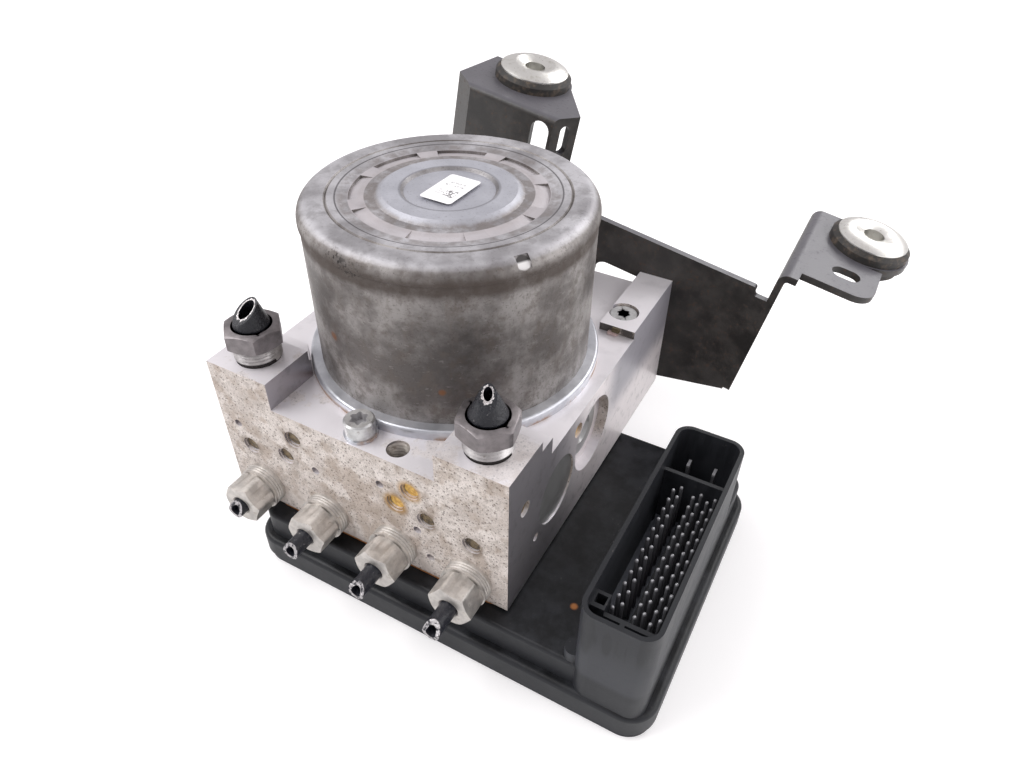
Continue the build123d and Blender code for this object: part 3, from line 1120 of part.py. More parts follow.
# ---- Folded bracket -------------------------------------------------------------------------
# The bracket leans about the Y axis. Its own axes are U across, Y back and W up, from a point on
# the motor's axis at the block's underside.
LEAN = math.radians(10.0)
SHEET = 2.2
BEND = 3.2
U_AXIS = (math.cos(LEAN), 0, -math.sin(LEAN))
W_AXIS = (math.sin(LEAN), 0, math.cos(LEAN))
FOOT = (0, 0, BLOCK_BOTTOM)
PLATE_FRONT = BLOCK_BACK
PLATE_MID = PLATE_FRONT + SHEET / 2
front_plane = Plane(origin=(0, PLATE_FRONT, BLOCK_BOTTOM), x_dir=U_AXIS, z_dir=(0, -1, 0))
plan_plane = Plane(origin=FOOT, x_dir=U_AXIS, z_dir=W_AXIS)
cross_plane = Plane(origin=FOOT, x_dir=U_AXIS, z_dir=(0, -1, 0))
side_plane = Plane(origin=FOOT, x_dir=(0, 1, 0), z_dir=U_AXIS)

PLATE_TOP = 58.0
PLATE_RIGHT = 68.0
PLATE_LEFT = -40.0
PLATE_LOW = 5.0
NOTCH_LEFT = 61.4
NOTCH_FLOOR = 55.0
RIGHT_LOW = 17.6
LOW_CORNER_U = 30.0
ARM_LEFT = -44.8
ARM_RIGHT = -14.6
WING_LEFT = -52.6
WING_LEFT_BACK = 6.0
WING_RIGHT = -9.4
WING_RIGHT_BACK = 8.0
ARM_FOOT = 54.0
LEFT_EAR_TOP = 83.2
RIGHT_EAR_TOP = 65.9
EAR_HOLE = 9.0
EAR_ROUND = 13.2
LEFT_BUSH = (-33.1, 79.7)
RIGHT_BUSH = (85.8, 95.9)
OPENING_LEFT = 10.5
OPENING_RIGHT = 31.0
OPENING_LOW = 34.0
OPENING_TOP = 43.7
ARM_SLOT_U = -18.8
ARM_SLOT_WIDTH = 6.2
ARM_SLOT_LOW = 64.0
ARM_SLOT_TOP = 81.0
WING_SLOT_W = 75.8
WING_SLOT_LENGTH = 9.5
WING_SLOT_WIDTH = 3.4
RIGHT_EAR_FRONT = 64.0
RIGHT_EAR_BACK = 107.0
RIGHT_EAR_EDGE = 92.6
RIGHT_EAR_CORNER = 6.0
RIGHT_SLOT = (82.9, 73.8)
RIGHT_SLOT_LENGTH = 8.8
RIGHT_SLOT_WIDTH = 5.8
FLANGE_FOOT_BACK = 74.0
with BuildPart() as bracket:
    with BuildSketch(front_plane):
        with BuildLine():
            FilletPolyline(
                (PLATE_LEFT, PLATE_LOW),
                (LOW_CORNER_U, PLATE_LOW),
                (PLATE_RIGHT, RIGHT_LOW),
                (PLATE_RIGHT, NOTCH_FLOOR),
                (NOTCH_LEFT, NOTCH_FLOOR),
                (NOTCH_LEFT, PLATE_TOP),
                (ARM_RIGHT, PLATE_TOP),
                (ARM_RIGHT, ARM_FOOT + 6.0),
                (ARM_LEFT, ARM_FOOT + 6.0),
                (ARM_LEFT, ARM_FOOT - 8.0),
                (PLATE_LEFT, ARM_FOOT - 20.0),
                radius=1.0,
                close=True,
            )
        make_face()
    extrude(amount=-SHEET)
    # Left arm: a channel with two slanted wings.
    with BuildSketch(plan_plane.offset(ARM_FOOT)):
        with BuildLine():
            Polyline(
                (WING_LEFT, PLATE_FRONT + WING_LEFT_BACK),
                (ARM_LEFT, PLATE_FRONT),
                (ARM_RIGHT, PLATE_FRONT),
                (WING_RIGHT, PLATE_FRONT + WING_RIGHT_BACK),
                (WING_RIGHT - SHEET, PLATE_FRONT + WING_RIGHT_BACK + SHEET / 2),
                (ARM_RIGHT - SHEET / 2, PLATE_FRONT + SHEET),
                (ARM_LEFT + SHEET / 2, PLATE_FRONT + SHEET),
                (WING_LEFT + SHEET / 2, PLATE_FRONT + WING_LEFT_BACK + SHEET),
                close=True,
            )
        make_face()
    extrude(amount=LEFT_EAR_TOP - ARM_FOOT)
    with BuildSketch(plan_plane.offset(LEFT_EAR_TOP)):
        with BuildLine():
            Polyline(
                (WING_LEFT, PLATE_FRONT + WING_LEFT_BACK),
                (ARM_LEFT, PLATE_FRONT),
                (ARM_RIGHT, PLATE_FRONT),
                (WING_RIGHT, PLATE_FRONT + WING_RIGHT_BACK),
                (WING_RIGHT - EAR_ROUND, LEFT_BUSH[1] + EAR_ROUND / 2),
                (WING_LEFT + SHEET, LEFT_BUSH[1] + EAR_ROUND / 2),
                close=True,
            )
        make_face()
        with Locations(LEFT_BUSH):
            Circle(EAR_ROUND)
    extrude(amount=-SHEET)
    top_edge = bracket.edges().sort_by(Axis((0, 0, 0), W_AXIS)).filter_by(Axis((0, 0, 0), U_AXIS))[-1]
    fillet(top_edge, radius=BEND - 1.2)
    # Right side: a flange that runs back from the plate and folds out into an ear.
    with BuildSketch(cross_plane.offset(-PLATE_FRONT)):
        with BuildLine():
            Polyline(
                (PLATE_RIGHT - SHEET, PLATE_LOW),
                (PLATE_RIGHT, PLATE_LOW),
                (PLATE_RIGHT, RIGHT_EAR_TOP - BEND),
            )
            RadiusArc(
                (PLATE_RIGHT, RIGHT_EAR_TOP - BEND),
                (PLATE_RIGHT + BEND - SHEET, RIGHT_EAR_TOP - SHEET),
                BEND - SHEET,
            )
            Polyline(
                (PLATE_RIGHT + BEND - SHEET, RIGHT_EAR_TOP - SHEET),
                (RIGHT_BUSH[0] + EAR_ROUND, RIGHT_EAR_TOP - SHEET),
                (RIGHT_BUSH[0] + EAR_ROUND, RIGHT_EAR_TOP),
                (PLATE_RIGHT + BEND - SHEET, RIGHT_EAR_TOP),
            )
            RadiusArc(
                (PLATE_RIGHT + BEND - SHEET, RIGHT_EAR_TOP),
                (PLATE_RIGHT - SHEET, RIGHT_EAR_TOP - BEND),
                -BEND,
            )
            Line((PLATE_RIGHT - SHEET, RIGHT_EAR_TOP - BEND), (PLATE_RIGHT - SHEET, PLATE_LOW))
        make_face()
    extrude(amount=-(RIGHT_EAR_BACK - PLATE_FRONT))
    # The flange tapers towards its foot and the ear narrows to its bush.
    with BuildSketch(side_plane.offset(PLATE_RIGHT - SHEET)):
        with BuildLine():
            Polyline(
                (PLATE_FRONT - 1.0, PLATE_LOW - 1.0),
                (PLATE_FRONT - 1.0, RIGHT_LOW),
                (FLANGE_FOOT_BACK, RIGHT_LOW),
                (RIGHT_EAR_BACK - 6.0, RIGHT_EAR_TOP - 2 * BEND),
                (RIGHT_EAR_BACK + 1.0, RIGHT_EAR_TOP - 2 * BEND),
                (RIGHT_EAR_BACK + 1.0, PLATE_LOW - 1.0),
                close=True,
            )
        make_face()
    extrude(amount=2 * SHEET, mode=Mode.SUBTRACT)
    with BuildSketch(plan_plane.offset(RIGHT_EAR_TOP + 1.0)):
        with BuildLine():
            Polyline(
                (RIGHT_EAR_EDGE, RIGHT_EAR_FRONT + RIGHT_EAR_CORNER),
                (RIGHT_EAR_EDGE, RIGHT_BUSH[1] - EAR_ROUND + 2.0),
                (RIGHT_BUSH[0] + EAR_ROUND + 1.0, RIGHT_BUSH[1] - EAR_ROUND + 2.0),
                (RIGHT_BUSH[0] + EAR_ROUND + 1.0, PLATE_FRONT - 1.0),
                (PLATE_RIGHT + BEND, PLATE_FRONT - 1.0),
                (PLATE_RIGHT + BEND, RIGHT_EAR_FRONT),
                (RIGHT_EAR_EDGE - RIGHT_EAR_CORNER, RIGHT_EAR_FRONT),
            )
            CenterArc(
                (RIGHT_EAR_EDGE - RIGHT_EAR_CORNER, RIGHT_EAR_FRONT + RIGHT_EAR_CORNER),
                RIGHT_EAR_CORNER,
                -90,
                90,
            )
        make_face()
        with Locations(RIGHT_BUSH):
            Circle(EAR_ROUND, mode=Mode.SUBTRACT)
    extrude(amount=-(SHEET + 2.0), mode=Mode.SUBTRACT)
    with BuildSketch(plan_plane.offset(RIGHT_EAR_TOP + 1.0)):
        with Locations((RIGHT_BUSH[0] + EAR_ROUND / 2, RIGHT_BUSH[1])):
            Rectangle(EAR_ROUND, 2 * EAR_ROUND)
        with Locations(RIGHT_BUSH):
            Circle(EAR_ROUND, mode=Mode.SUBTRACT)
    extrude(amount=-(SHEET + 2.0), mode=Mode.SUBTRACT)
    # Holes: both bushes, the openings in plate, arm, wing and ear, and the screws to the block.
    with BuildSketch(plan_plane.offset(LEFT_EAR_TOP + 1.0)):
        with Locations(LEFT_BUSH):
            Circle(EAR_HOLE)
    extrude(amount=-(SHEET + 2.0), mode=Mode.SUBTRACT)
    with BuildSketch(plan_plane.offset(RIGHT_EAR_TOP + 1.0)):
        with Locations(RIGHT_BUSH):
            Circle(EAR_HOLE)
        with Locations(RIGHT_SLOT):
            SlotOverall(RIGHT_SLOT_LENGTH, RIGHT_SLOT_WIDTH)
    extrude(amount=-(SHEET + 2.0), mode=Mode.SUBTRACT)
    with BuildSketch(front_plane.offset(1.0)):
        with Locations(((OPENING_LEFT + OPENING_RIGHT) / 2, (OPENING_LOW + OPENING_TOP) / 2)):
            RectangleRounded(OPENING_RIGHT - OPENING_LEFT, OPENING_TOP - OPENING_LOW, 3.8)
        with Locations((ARM_SLOT_U, (ARM_SLOT_LOW + ARM_SLOT_TOP) / 2)):
            SlotOverall(ARM_SLOT_TOP - ARM_SLOT_LOW, ARM_SLOT_WIDTH, rotation=90)
    extrude(amount=-(SHEET + 2.0), mode=Mode.SUBTRACT)
    wing_back = plan_plane.from_local_coords(Vector(WING_RIGHT_BACK, ARM_RIGHT - WING_RIGHT, 0))
    wing_plane = Plane(
        origin=plan_plane.from_local_coords(
            Vector((ARM_RIGHT + WING_RIGHT) / 2, PLATE_FRONT + WING_RIGHT_BACK / 2, WING_SLOT_W)
        ),
        x_dir=W_AXIS,
        z_dir=wing_back - Vector(*FOOT),
    )
    with BuildSketch(wing_plane.offset(SHEET)):
        SlotOverall(WING_SLOT_LENGTH, WING_SLOT_WIDTH)
    extrude(amount=-3 * SHEET, mode=Mode.SUBTRACT)
    with BuildSketch(Plane.XZ.offset(-PLATE_FRONT)):
        with Locations(*[(hole_x, BLOCK_BOTTOM + hole_z) for hole_x, hole_z in BRACKET_SCREW_SITES]):
            Circle(BRACKET_SCREW_RADIUS)
    extrude(amount=-SHEET, mode=Mode.SUBTRACT)
bracket.part.label = "bracket"
export_step(bracket.part, "parts/bracket.step")

BRACKET_HEAD_RADIUS = 5.2
BRACKET_HEAD_HEIGHT = 3.2
BRACKET_KEY_RADIUS = 2.6
with BuildPart() as bracket_screws:
    with BuildSketch(Plane.XZ.offset(-(PLATE_FRONT + SHEET))):
        with Locations(*[(hole_x, BLOCK_BOTTOM + hole_z) for hole_x, hole_z in BRACKET_SCREW_SITES]):
            Circle(BRACKET_HEAD_RADIUS)
    extrude(amount=-BRACKET_HEAD_HEIGHT)
    with BuildSketch(Plane.XZ.offset(-(PLATE_FRONT + SHEET + BRACKET_HEAD_HEIGHT))):
        with Locations(*[(hole_x, BLOCK_BOTTOM + hole_z) for hole_x, hole_z in BRACKET_SCREW_SITES]):
            RegularPolygon(BRACKET_KEY_RADIUS, 6)
    extrude(amount=BRACKET_HEAD_HEIGHT / 2, mode=Mode.SUBTRACT)
    with BuildSketch(Plane.XZ.offset(-(PLATE_FRONT + SHEET))):
        with Locations(*[(hole_x, BLOCK_BOTTOM + hole_z) for hole_x, hole_z in BRACKET_SCREW_SITES]):
            Circle(BRACKET_SCREW_RADIUS - RUNNING_GAP)
    extrude(amount=SHEET + BRACKET_SCREW_DEPTH - 1.0)
bracket_screws.part.label = "bracket_screws"
export_step(bracket_screws.part, "parts/bracket_screws.step")

# ---- Rubber bushes and their steel sleeves --------------------------------------------------
RUBBER_RADIUS = 12.5
RUBBER_RISE = 3.4
RUBBER_DROP = 3.8
RUBBER_LOW_RADIUS = 11.8
SLEEVE_OUTER = 5.0
SLEEVE_BORE = 3.3
WASHER_RADIUS = 11.1
WASHER_THICK = 0.9
DOME_TOP_RADIUS = 6.6
DOME_RISE = 2.1
DOME_SHOULDER = 0.5
LIP_ROUND = 1.2
for side_name, bush, ear_top in (("left", LEFT_BUSH, LEFT_EAR_TOP), ("right", RIGHT_BUSH, RIGHT_EAR_TOP)):
    bush_centre = plan_plane.from_local_coords(Vector(bush[0], bush[1], ear_top))
    bush_plane = Plane(origin=bush_centre, x_dir=U_AXIS, z_dir=(0, -1, 0))
    bush_axis = Axis(bush_centre, W_AXIS)
    with BuildPart() as rubber_bush:
        with BuildSketch(bush_plane):
            with BuildLine():
                Polyline(
                    (SLEEVE_OUTER + RUNNING_GAP, -SHEET - RUBBER_DROP),
                    (RUBBER_LOW_RADIUS - LIP_ROUND, -SHEET - RUBBER_DROP),
                    (RUBBER_LOW_RADIUS, -SHEET - RUBBER_DROP + LIP_ROUND),
                    (RUBBER_LOW_RADIUS, -SHEET),
                    (EAR_HOLE - RUNNING_GAP, -SHEET),
                    (EAR_HOLE - RUNNING_GAP, 0),
                    (RUBBER_RADIUS, 0),
                    (RUBBER_RADIUS, RUBBER_RISE - LIP_ROUND),
                    (RUBBER_RADIUS - LIP_ROUND, RUBBER_RISE),
                    (SLEEVE_OUTER + RUNNING_GAP, RUBBER_RISE),
                    close=True,
                )
            make_face()
        revolve(axis=bush_axis)
    rubber_bush.part.label = f"rubber_bush_{side_name}"
    export_step(rubber_bush.part, f"parts/rubber_bush_{side_name}.step")

    with BuildPart() as bush_sleeve:
        with BuildSketch(bush_plane):
            with BuildLine():
                Polyline(
                    (SLEEVE_BORE, -SHEET - RUBBER_DROP),
                    (SLEEVE_OUTER, -SHEET - RUBBER_DROP),
                    (SLEEVE_OUTER, RUBBER_RISE),
                    (WASHER_RADIUS, RUBBER_RISE),
                    (WASHER_RADIUS, RUBBER_RISE + WASHER_THICK / 2),
                )
                ThreePointArc(
                    (WASHER_RADIUS, RUBBER_RISE + WASHER_THICK / 2),
                    ((WASHER_RADIUS + DOME_TOP_RADIUS) / 2, RUBBER_RISE + DOME_RISE - DOME_SHOULDER),
                    (DOME_TOP_RADIUS, RUBBER_RISE + DOME_RISE),
                )
                ThreePointArc(
                    (DOME_TOP_RADIUS, RUBBER_RISE + DOME_RISE),
                    ((DOME_TOP_RADIUS + SLEEVE_BORE) / 2, RUBBER_RISE + DOME_RISE - DOME_SHOULDER),
                    (SLEEVE_BORE, RUBBER_RISE + WASHER_THICK),
                )
                Line((SLEEVE_BORE, RUBBER_RISE + WASHER_THICK), (SLEEVE_BORE, -SHEET - RUBBER_DROP))
            make_face()
        revolve(axis=bush_axis)
    bush_sleeve.part.label = f"bush_sleeve_{side_name}"
    export_step(bush_sleeve.part, f"parts/bush_sleeve_{side_name}.step")
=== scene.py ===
"""Anti-lock brake module: finishes for the solid parts, and the small pieces that dress them."""

import math

import bmesh
import bpy
from mathutils import Matrix, Vector


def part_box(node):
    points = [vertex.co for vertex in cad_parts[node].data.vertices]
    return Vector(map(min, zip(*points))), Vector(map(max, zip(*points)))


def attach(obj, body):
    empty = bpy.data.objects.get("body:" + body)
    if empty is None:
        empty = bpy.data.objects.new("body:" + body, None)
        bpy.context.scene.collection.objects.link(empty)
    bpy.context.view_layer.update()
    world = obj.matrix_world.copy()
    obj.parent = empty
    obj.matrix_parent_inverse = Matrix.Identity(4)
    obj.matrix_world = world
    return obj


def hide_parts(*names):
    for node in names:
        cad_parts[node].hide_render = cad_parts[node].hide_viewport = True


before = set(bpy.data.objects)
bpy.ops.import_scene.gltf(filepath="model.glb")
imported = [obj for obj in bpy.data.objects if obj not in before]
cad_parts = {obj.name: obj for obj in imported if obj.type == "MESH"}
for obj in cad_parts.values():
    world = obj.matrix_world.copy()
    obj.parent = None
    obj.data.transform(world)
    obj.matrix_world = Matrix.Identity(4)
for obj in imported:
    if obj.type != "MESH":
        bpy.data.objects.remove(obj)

bl_info = {
    "name": "Anti-lock brake module",
    "version": (1, 0, 0),
    "blender": (4, 5, 0),
    "location": "View3D > Sidebar > Brake module",
    "description": "Finishes and small pieces of an anti-lock brake module",
    "category": "Object",
}

MM = 0.001

# Each post tube's cut: height of its middle above the nuts, where it faces and how steep it is
# and the bore's radius there and how fast it narrows upwards
TUBE_CUTS = (("left", 4.8, -23.0, 38.0, 2.2, 0.25), ("right", 6.8, 25.0, 47.0, 0.94, 0.37))
# The sticker on the motor: its middle from the motor's axis, its size and how far it is turned
LABEL_MIDDLE = (0.5, -0.3)
LABEL_SIZE = (9.2, 14.6)
LABEL_TURN = math.radians(-2.0)
LABEL_THICKNESS = 0.08
LABEL_CORNER = 0.9
CUP_DIP = 0.2
# The round pins in the signal socket
PIN_RADIUS = 0.5
# The line nuts: half width over flats, height of the hexagon, recess, collar and bore
POST_NUT = {"flat": 6.9, "hex": 5.3, "recess": 4.9, "depth": 1.6, "bore": 2.6}
FRONT_NUT = {
    "flat": 5.6, "hex": 7.0, "collar": 6.6, "collar_length": 3.6, "grooves": 3, "shank": 4.9, "bore": 2.42,
}
# The thread that shows below each upper line nut
THREAD_CORE = 5.85
THREAD_TURNS = 4.0
# The tapped hole beside the motor's front screw
SPARE_HOLE = (10.7, -44.4)
SPARE_HOLE_TOP = 57.8
SPARE_HOLE_RADIUS = 2.98
SPARE_HOLE_TURNS = 6.0
# Crumbs of sealer: name, middle, size and colour
SEALER_CRUMBS = (
    ("olive_crumb", (38.9, 26.3, 59.5), (2.4, 1.2, 1.5), (0.1, 0.075, 0.035)),
    ("pink_crumb", (38.1, 26.2, 58.3), (3.2, 1.4, 1.0), (0.62, 0.48, 0.46)),
)
# Screw heads: name, part, (radius, height), recess radius, recess depth, shank radius
SCREW_HEADS = (
    ("motor_screw_heads", "motor_screws", (4.0, 4.4), 2.5, 2.2, 2.35),
    ("post_screw_heads", "post_screws", (4.45, 3.0), 2.1, 1.2, 1.95),
)


# ---- Shader maths ---------------------------------------------------------------------------
class Value:
    """A socket of a finish. Arithmetic on it adds Math nodes."""

    def __init__(self, finish, socket):
        self.finish = finish
        self.socket = socket

    def maths(self, operation, *values):
        return self.finish.add("ShaderNodeMath", {"operation": operation}, dict(enumerate(values)))

    def __add__(self, other):
        return self.maths("ADD", self, other)

    __radd__ = __add__

    def __sub__(self, other):
        return self.maths("SUBTRACT", self, other)

    def __rsub__(self, other):
        return self.maths("SUBTRACT", other, self)

    def __mul__(self, other):
        return self.maths("MULTIPLY", self, other)

    __rmul__ = __mul__

    def __truediv__(self, other):
        return self.maths("DIVIDE", self, other)

    def __pow__(self, other):
        return self.maths("POWER", self, other)

    def __abs__(self):
        return self.maths("ABSOLUTE", self)

    def least(self, other):
        return self.maths("MINIMUM", self, other)

    def most(self, other):
        return self.maths("MAXIMUM", self, other)

    def rise(self, low, high):
        """0 below low, 1 above high, smooth between."""
        settings = {"interpolation_type": "SMOOTHSTEP"}
        return self.finish.add("ShaderNodeMapRange", settings, {"Value": self, "From Min": low, "From Max": high})

    def fall(self, low, high):
        """1 below low, 0 above high."""
        return 1 - self.rise(low, high)

    def band(self, centre, half, soft):
        """1 within half of centre, fading to 0 over soft."""
        return abs(self - centre).fall(half, half + soft)


class Finish:
    """A material's nodes, with the patterns that the module's surfaces share."""

    def __init__(self, name, colour, roughness=0.5, metallic=0.0, coat=0.0, specular=0.5):
        self.material = bpy.data.materials.new(name)
        self.material.use_nodes = True
        self.material.diffuse_color = (*colour, 1.0)
        self.nodes = self.material.node_tree.nodes
        self.links = self.material.node_tree.links
        self.shader = self.nodes["Principled BSDF"]
        self.shader.inputs["Base Color"].default_value = (*colour, 1.0)
        self.shader.inputs["Roughness"].default_value = roughness
        self.shader.inputs["Metallic"].default_value = metallic
        self.shader.inputs["Coat Weight"].default_value = coat
        self.shader.inputs["Specular IOR Level"].default_value = specular
        place = self.nodes.new("ShaderNodeTexCoord")
        self.place = place.outputs["Object"]
        self.facing = place.outputs["Normal"]
        self.height = None

    def add(self, kind, settings, inputs, output=0):
        """A node with its settings and its sockets' values or links; returns one output."""
        node = self.nodes.new(kind)
        for name, setting in settings.items():
            if name == "stops":
                ramp = node.color_ramp.elements
                for element in list(ramp)[1:]:
                    ramp.remove(element)
                for index, (position, colour) in enumerate(setting):
                    element = ramp[0] if index == 0 else ramp.new(position)
                    element.position = position
                    element.color = (*colour, 1.0)
            else:
                setattr(node, name, setting)
        for name, value in inputs.items():
            self.feed(node.inputs[name], value)
        return Value(self, node.outputs[output])

    def feed(self, socket, value):
        if isinstance(value, Value):
            value = value.socket
        if isinstance(value, bpy.types.NodeSocket):
            self.links.new(value, socket)
        elif isinstance(value, (tuple, list)) and len(value) == 3 and socket.type == "RGBA":
            socket.default_value = (*value, 1.0)
        else:
            socket.default_value = value

    def axis(self, name):
        """The place along X, Y or Z, in metres."""
        return self.add("ShaderNodeSeparateXYZ", {}, {0: self.place}, "XYZ".index(name))

    def facing_axis(self, name):
        """How far a face looks along X, Y or Z, from -1 to 1."""
        return self.add("ShaderNodeSeparateXYZ", {}, {0: self.facing}, "XYZ".index(name))

    def distance(self, x, y, z, stretch=(1, 1, 1)):
        """The distance from a point in millimetres, as millimetres."""
        away = self.add(
            "ShaderNodeVectorMath", {"operation": "SUBTRACT"}, {0: self.place, 1: (x * MM, y * MM, z * MM)}
        )
        scaled = self.add("ShaderNodeVectorMath", {"operation": "MULTIPLY"}, {0: away, 1: stretch})
        return self.add("ShaderNodeVectorMath", {"operation": "LENGTH"}, {0: scaled}, 1) / MM

    def along(self, direction):
        """The place measured along a direction, in millimetres."""
        inputs = {0: self.place, 1: tuple(direction)}
        return self.add("ShaderNodeVectorMath", {"operation": "DOT_PRODUCT"}, inputs, 1) / MM

    def spot(self, x, y, z, inner, outer, stretch=(1, 1, 1)):
        """1 within inner millimetres of a point, 0 beyond outer."""
        return self.distance(x, y, z, stretch).fall(inner, outer)

    def noise(self, size, detail=3.0, roughness=0.5, stretch=None, shift=0.0, distortion=0.0):
        """Noise whose blotches are about size millimetres across, from 0 to 1."""
        place = self.place
        if stretch or shift:
            place = self.add(
                "ShaderNodeMapping",
                {},
                {"Vector": place, "Location": (shift, shift, shift), "Scale": stretch or (1, 1, 1)},
            )
        inputs = {
            "Vector": place,
            "Scale": 1 / (size * MM),
            "Detail": detail,
            "Roughness": roughness,
            "Distortion": distortion,
        }
        return self.add("ShaderNodeTexNoise", {}, inputs)

    def cells(self, size, feature="F1", randomness=1.0):
        """Distance to the nearest of scattered points, size millimetres apart."""
        inputs = {"Vector": self.place, "Scale": 1 / (size * MM), "Randomness": randomness}
        return self.add("ShaderNodeTexVoronoi", {"feature": feature}, inputs)

    def mix(self, mask, low, high):
        """A colour that is low where mask is 0 and high where it is 1."""
        node = self.nodes.new("ShaderNodeMix")
        node.data_type = "RGBA"
        self.feed(node.inputs["Factor"], mask)
        self.feed(node.inputs[6], low)
        self.feed(node.inputs[7], high)
        return Value(self, node.outputs[2])

    def colour(self, value):
        self.feed(self.shader.inputs["Base Color"], value)
        return self

    def roughness(self, value):
        self.feed(self.shader.inputs["Roughness"], value)
        return self

    def metallic(self, value):
        self.feed(self.shader.inputs["Metallic"], value)
        return self

    def bump(self, height, depth, strength=1.0):
        """Relief of depth millimetres."""
        bump = self.add("ShaderNodeBump", {}, {"Strength": strength, "Distance": depth * MM, "Height": height})
        self.feed(self.shader.inputs["Normal"], bump)
        return self

    def on(self, *nodes):
        """Gives this finish to solid parts."""
        for node in nodes:
            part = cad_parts[node]
            part.data.materials.clear()
            part.data.materials.append(self.material)
        return self


# ---- Finishes -------------------------------------------------------------------------------
def moulded_black(name="moulded_black", colour=(0.018, 0.019, 0.021), gloss=0.4):
    """Black plastic: dark on its deck, hazy with dust on its walls and lighter lower down, with painted shade on
    walls that face +X and a painted lighter socket floor among the pins.
    """
    finish = Finish(name, colour, gloss, specular=0.28)
    high = finish.axis("Z") / MM
    up = finish.facing_axis("Z").rise(0.5, 0.9)
    grain = finish.noise(0.35, 2.0)
    dust = finish.noise(9.0, 5.0, 0.62)
    streak = finish.noise(3.5, 4.0, 0.55, stretch=(1.0, 1.0, 0.12), shift=2.0)
    lint = finish.noise(1.1, 2.0, shift=3.0).rise(0.66, 0.74) * dust.rise(0.45, 0.7)
    # Walls: hazier lower down; walls that face +X get less haze, which is painted shade.
    wall = high.rise(18.0, 21.0) * (1 - up) * (1 - finish.facing_axis("X").rise(0.4, 0.9) * 0.45)
    # Painted light: the socket floor among the pins is made lighter where their shade falls, varied with dust.
    socket = high.band(20.0, 0.4, 0.3) * up
    lip = high.rise(43.2, 43.8) * up
    drip = finish.spot(58.9, -38.8, 18.5, 0.5, 1.3)
    haze = tuple(c * 2.6 + 0.002 for c in colour)
    flat = finish.mix(dust.rise(0.35, 0.65), tuple(c * 0.4 for c in colour), tuple(c * 1.5 for c in colour))
    body = finish.mix(up * high.fall(19.0, 19.5), tuple(c * 1.3 for c in colour), flat)
    smear = streak.rise(0.5, 0.6) * high.rise(30.0, 38.0) * 0.6
    runs = (finish.spot(68.3, -55.8, 34.5, 0.8, 2.2, (1, 1, 0.25)) + finish.spot(73.7, -55.8, 36, 0.3, 1.5, (1, 1, 0.25)))
    smear = (smear + runs).least(1.0)
    lower = high.fall(26.0, 40.0)
    body = finish.mix(wall * (0.25 + lower * 0.75 + (dust - 0.5) * 0.8 - smear * 0.9), body, haze)
    # Painted light on the socket floor.
    body = finish.mix(socket * (0.5 + dust), body, tuple(c * 11.0 for c in colour))
    body = finish.mix(lip * 0.7, body, tuple(c * 0.9 for c in colour))
    body = finish.mix(drip, body, (0.45, 0.17, 0.05))
    finish.colour(finish.mix(lint * 0.5, body, (0.12, 0.11, 0.105)))
    finish.roughness(gloss + (dust - 0.5) * 0.3 + lint * 0.2)
    return finish.bump(grain + dust * 2.0 + drip, 0.02)


def pin_tin():
    """Tinned pins: painted shade down their shafts, and pale at their tips."""
    finish = Finish("tinned_pins", (0.3, 0.3, 0.32), 0.45, 0.3)
    tip = (finish.axis("Z") / MM).rise(35.7, 36.1)
    worn = finish.noise(0.8, 3.0, 0.6)
    pale = finish.mix(worn, (0.26, 0.26, 0.28), (0.5, 0.5, 0.52))
    # Painted shade: the shafts are dark below the pale tips.
    finish.colour(finish.mix(tip, (0.1, 0.1, 0.11), pale))
    finish.roughness(0.5 - tip * 0.15 + (worn - 0.5) * 0.2)
    finish.metallic(tip * 0.4)
    return finish.bump(worn, 0.02)


def dull_zinc(name, colour, stain=(0.2, 0.13, 0.08), roughness=0.42, stain_size=5.0, amount=0.5):
    finish = Finish(name, colour, roughness, 0.85)
    blotch = finish.noise(stain_size, 5.0, 0.6)
    fine = finish.noise(0.5, 3.0)
    spots = finish.noise(1.4, 3.0, 0.6, shift=1.7).rise(0.6, 0.7) * blotch.rise(0.42, 0.62)
    base = finish.mix(blotch.rise(0.3, 0.7), tuple(c * 0.78 for c in colour), tuple(min(1, c * 1.15) for c in colour))
    finish.colour(finish.mix(spots * amount, base, stain))
    finish.roughness(roughness + (blotch - 0.5) * 0.35 + spots * 0.25)
    finish.metallic(0.85 - spots * amount)
    return finish.bump(fine + blotch, 0.03)


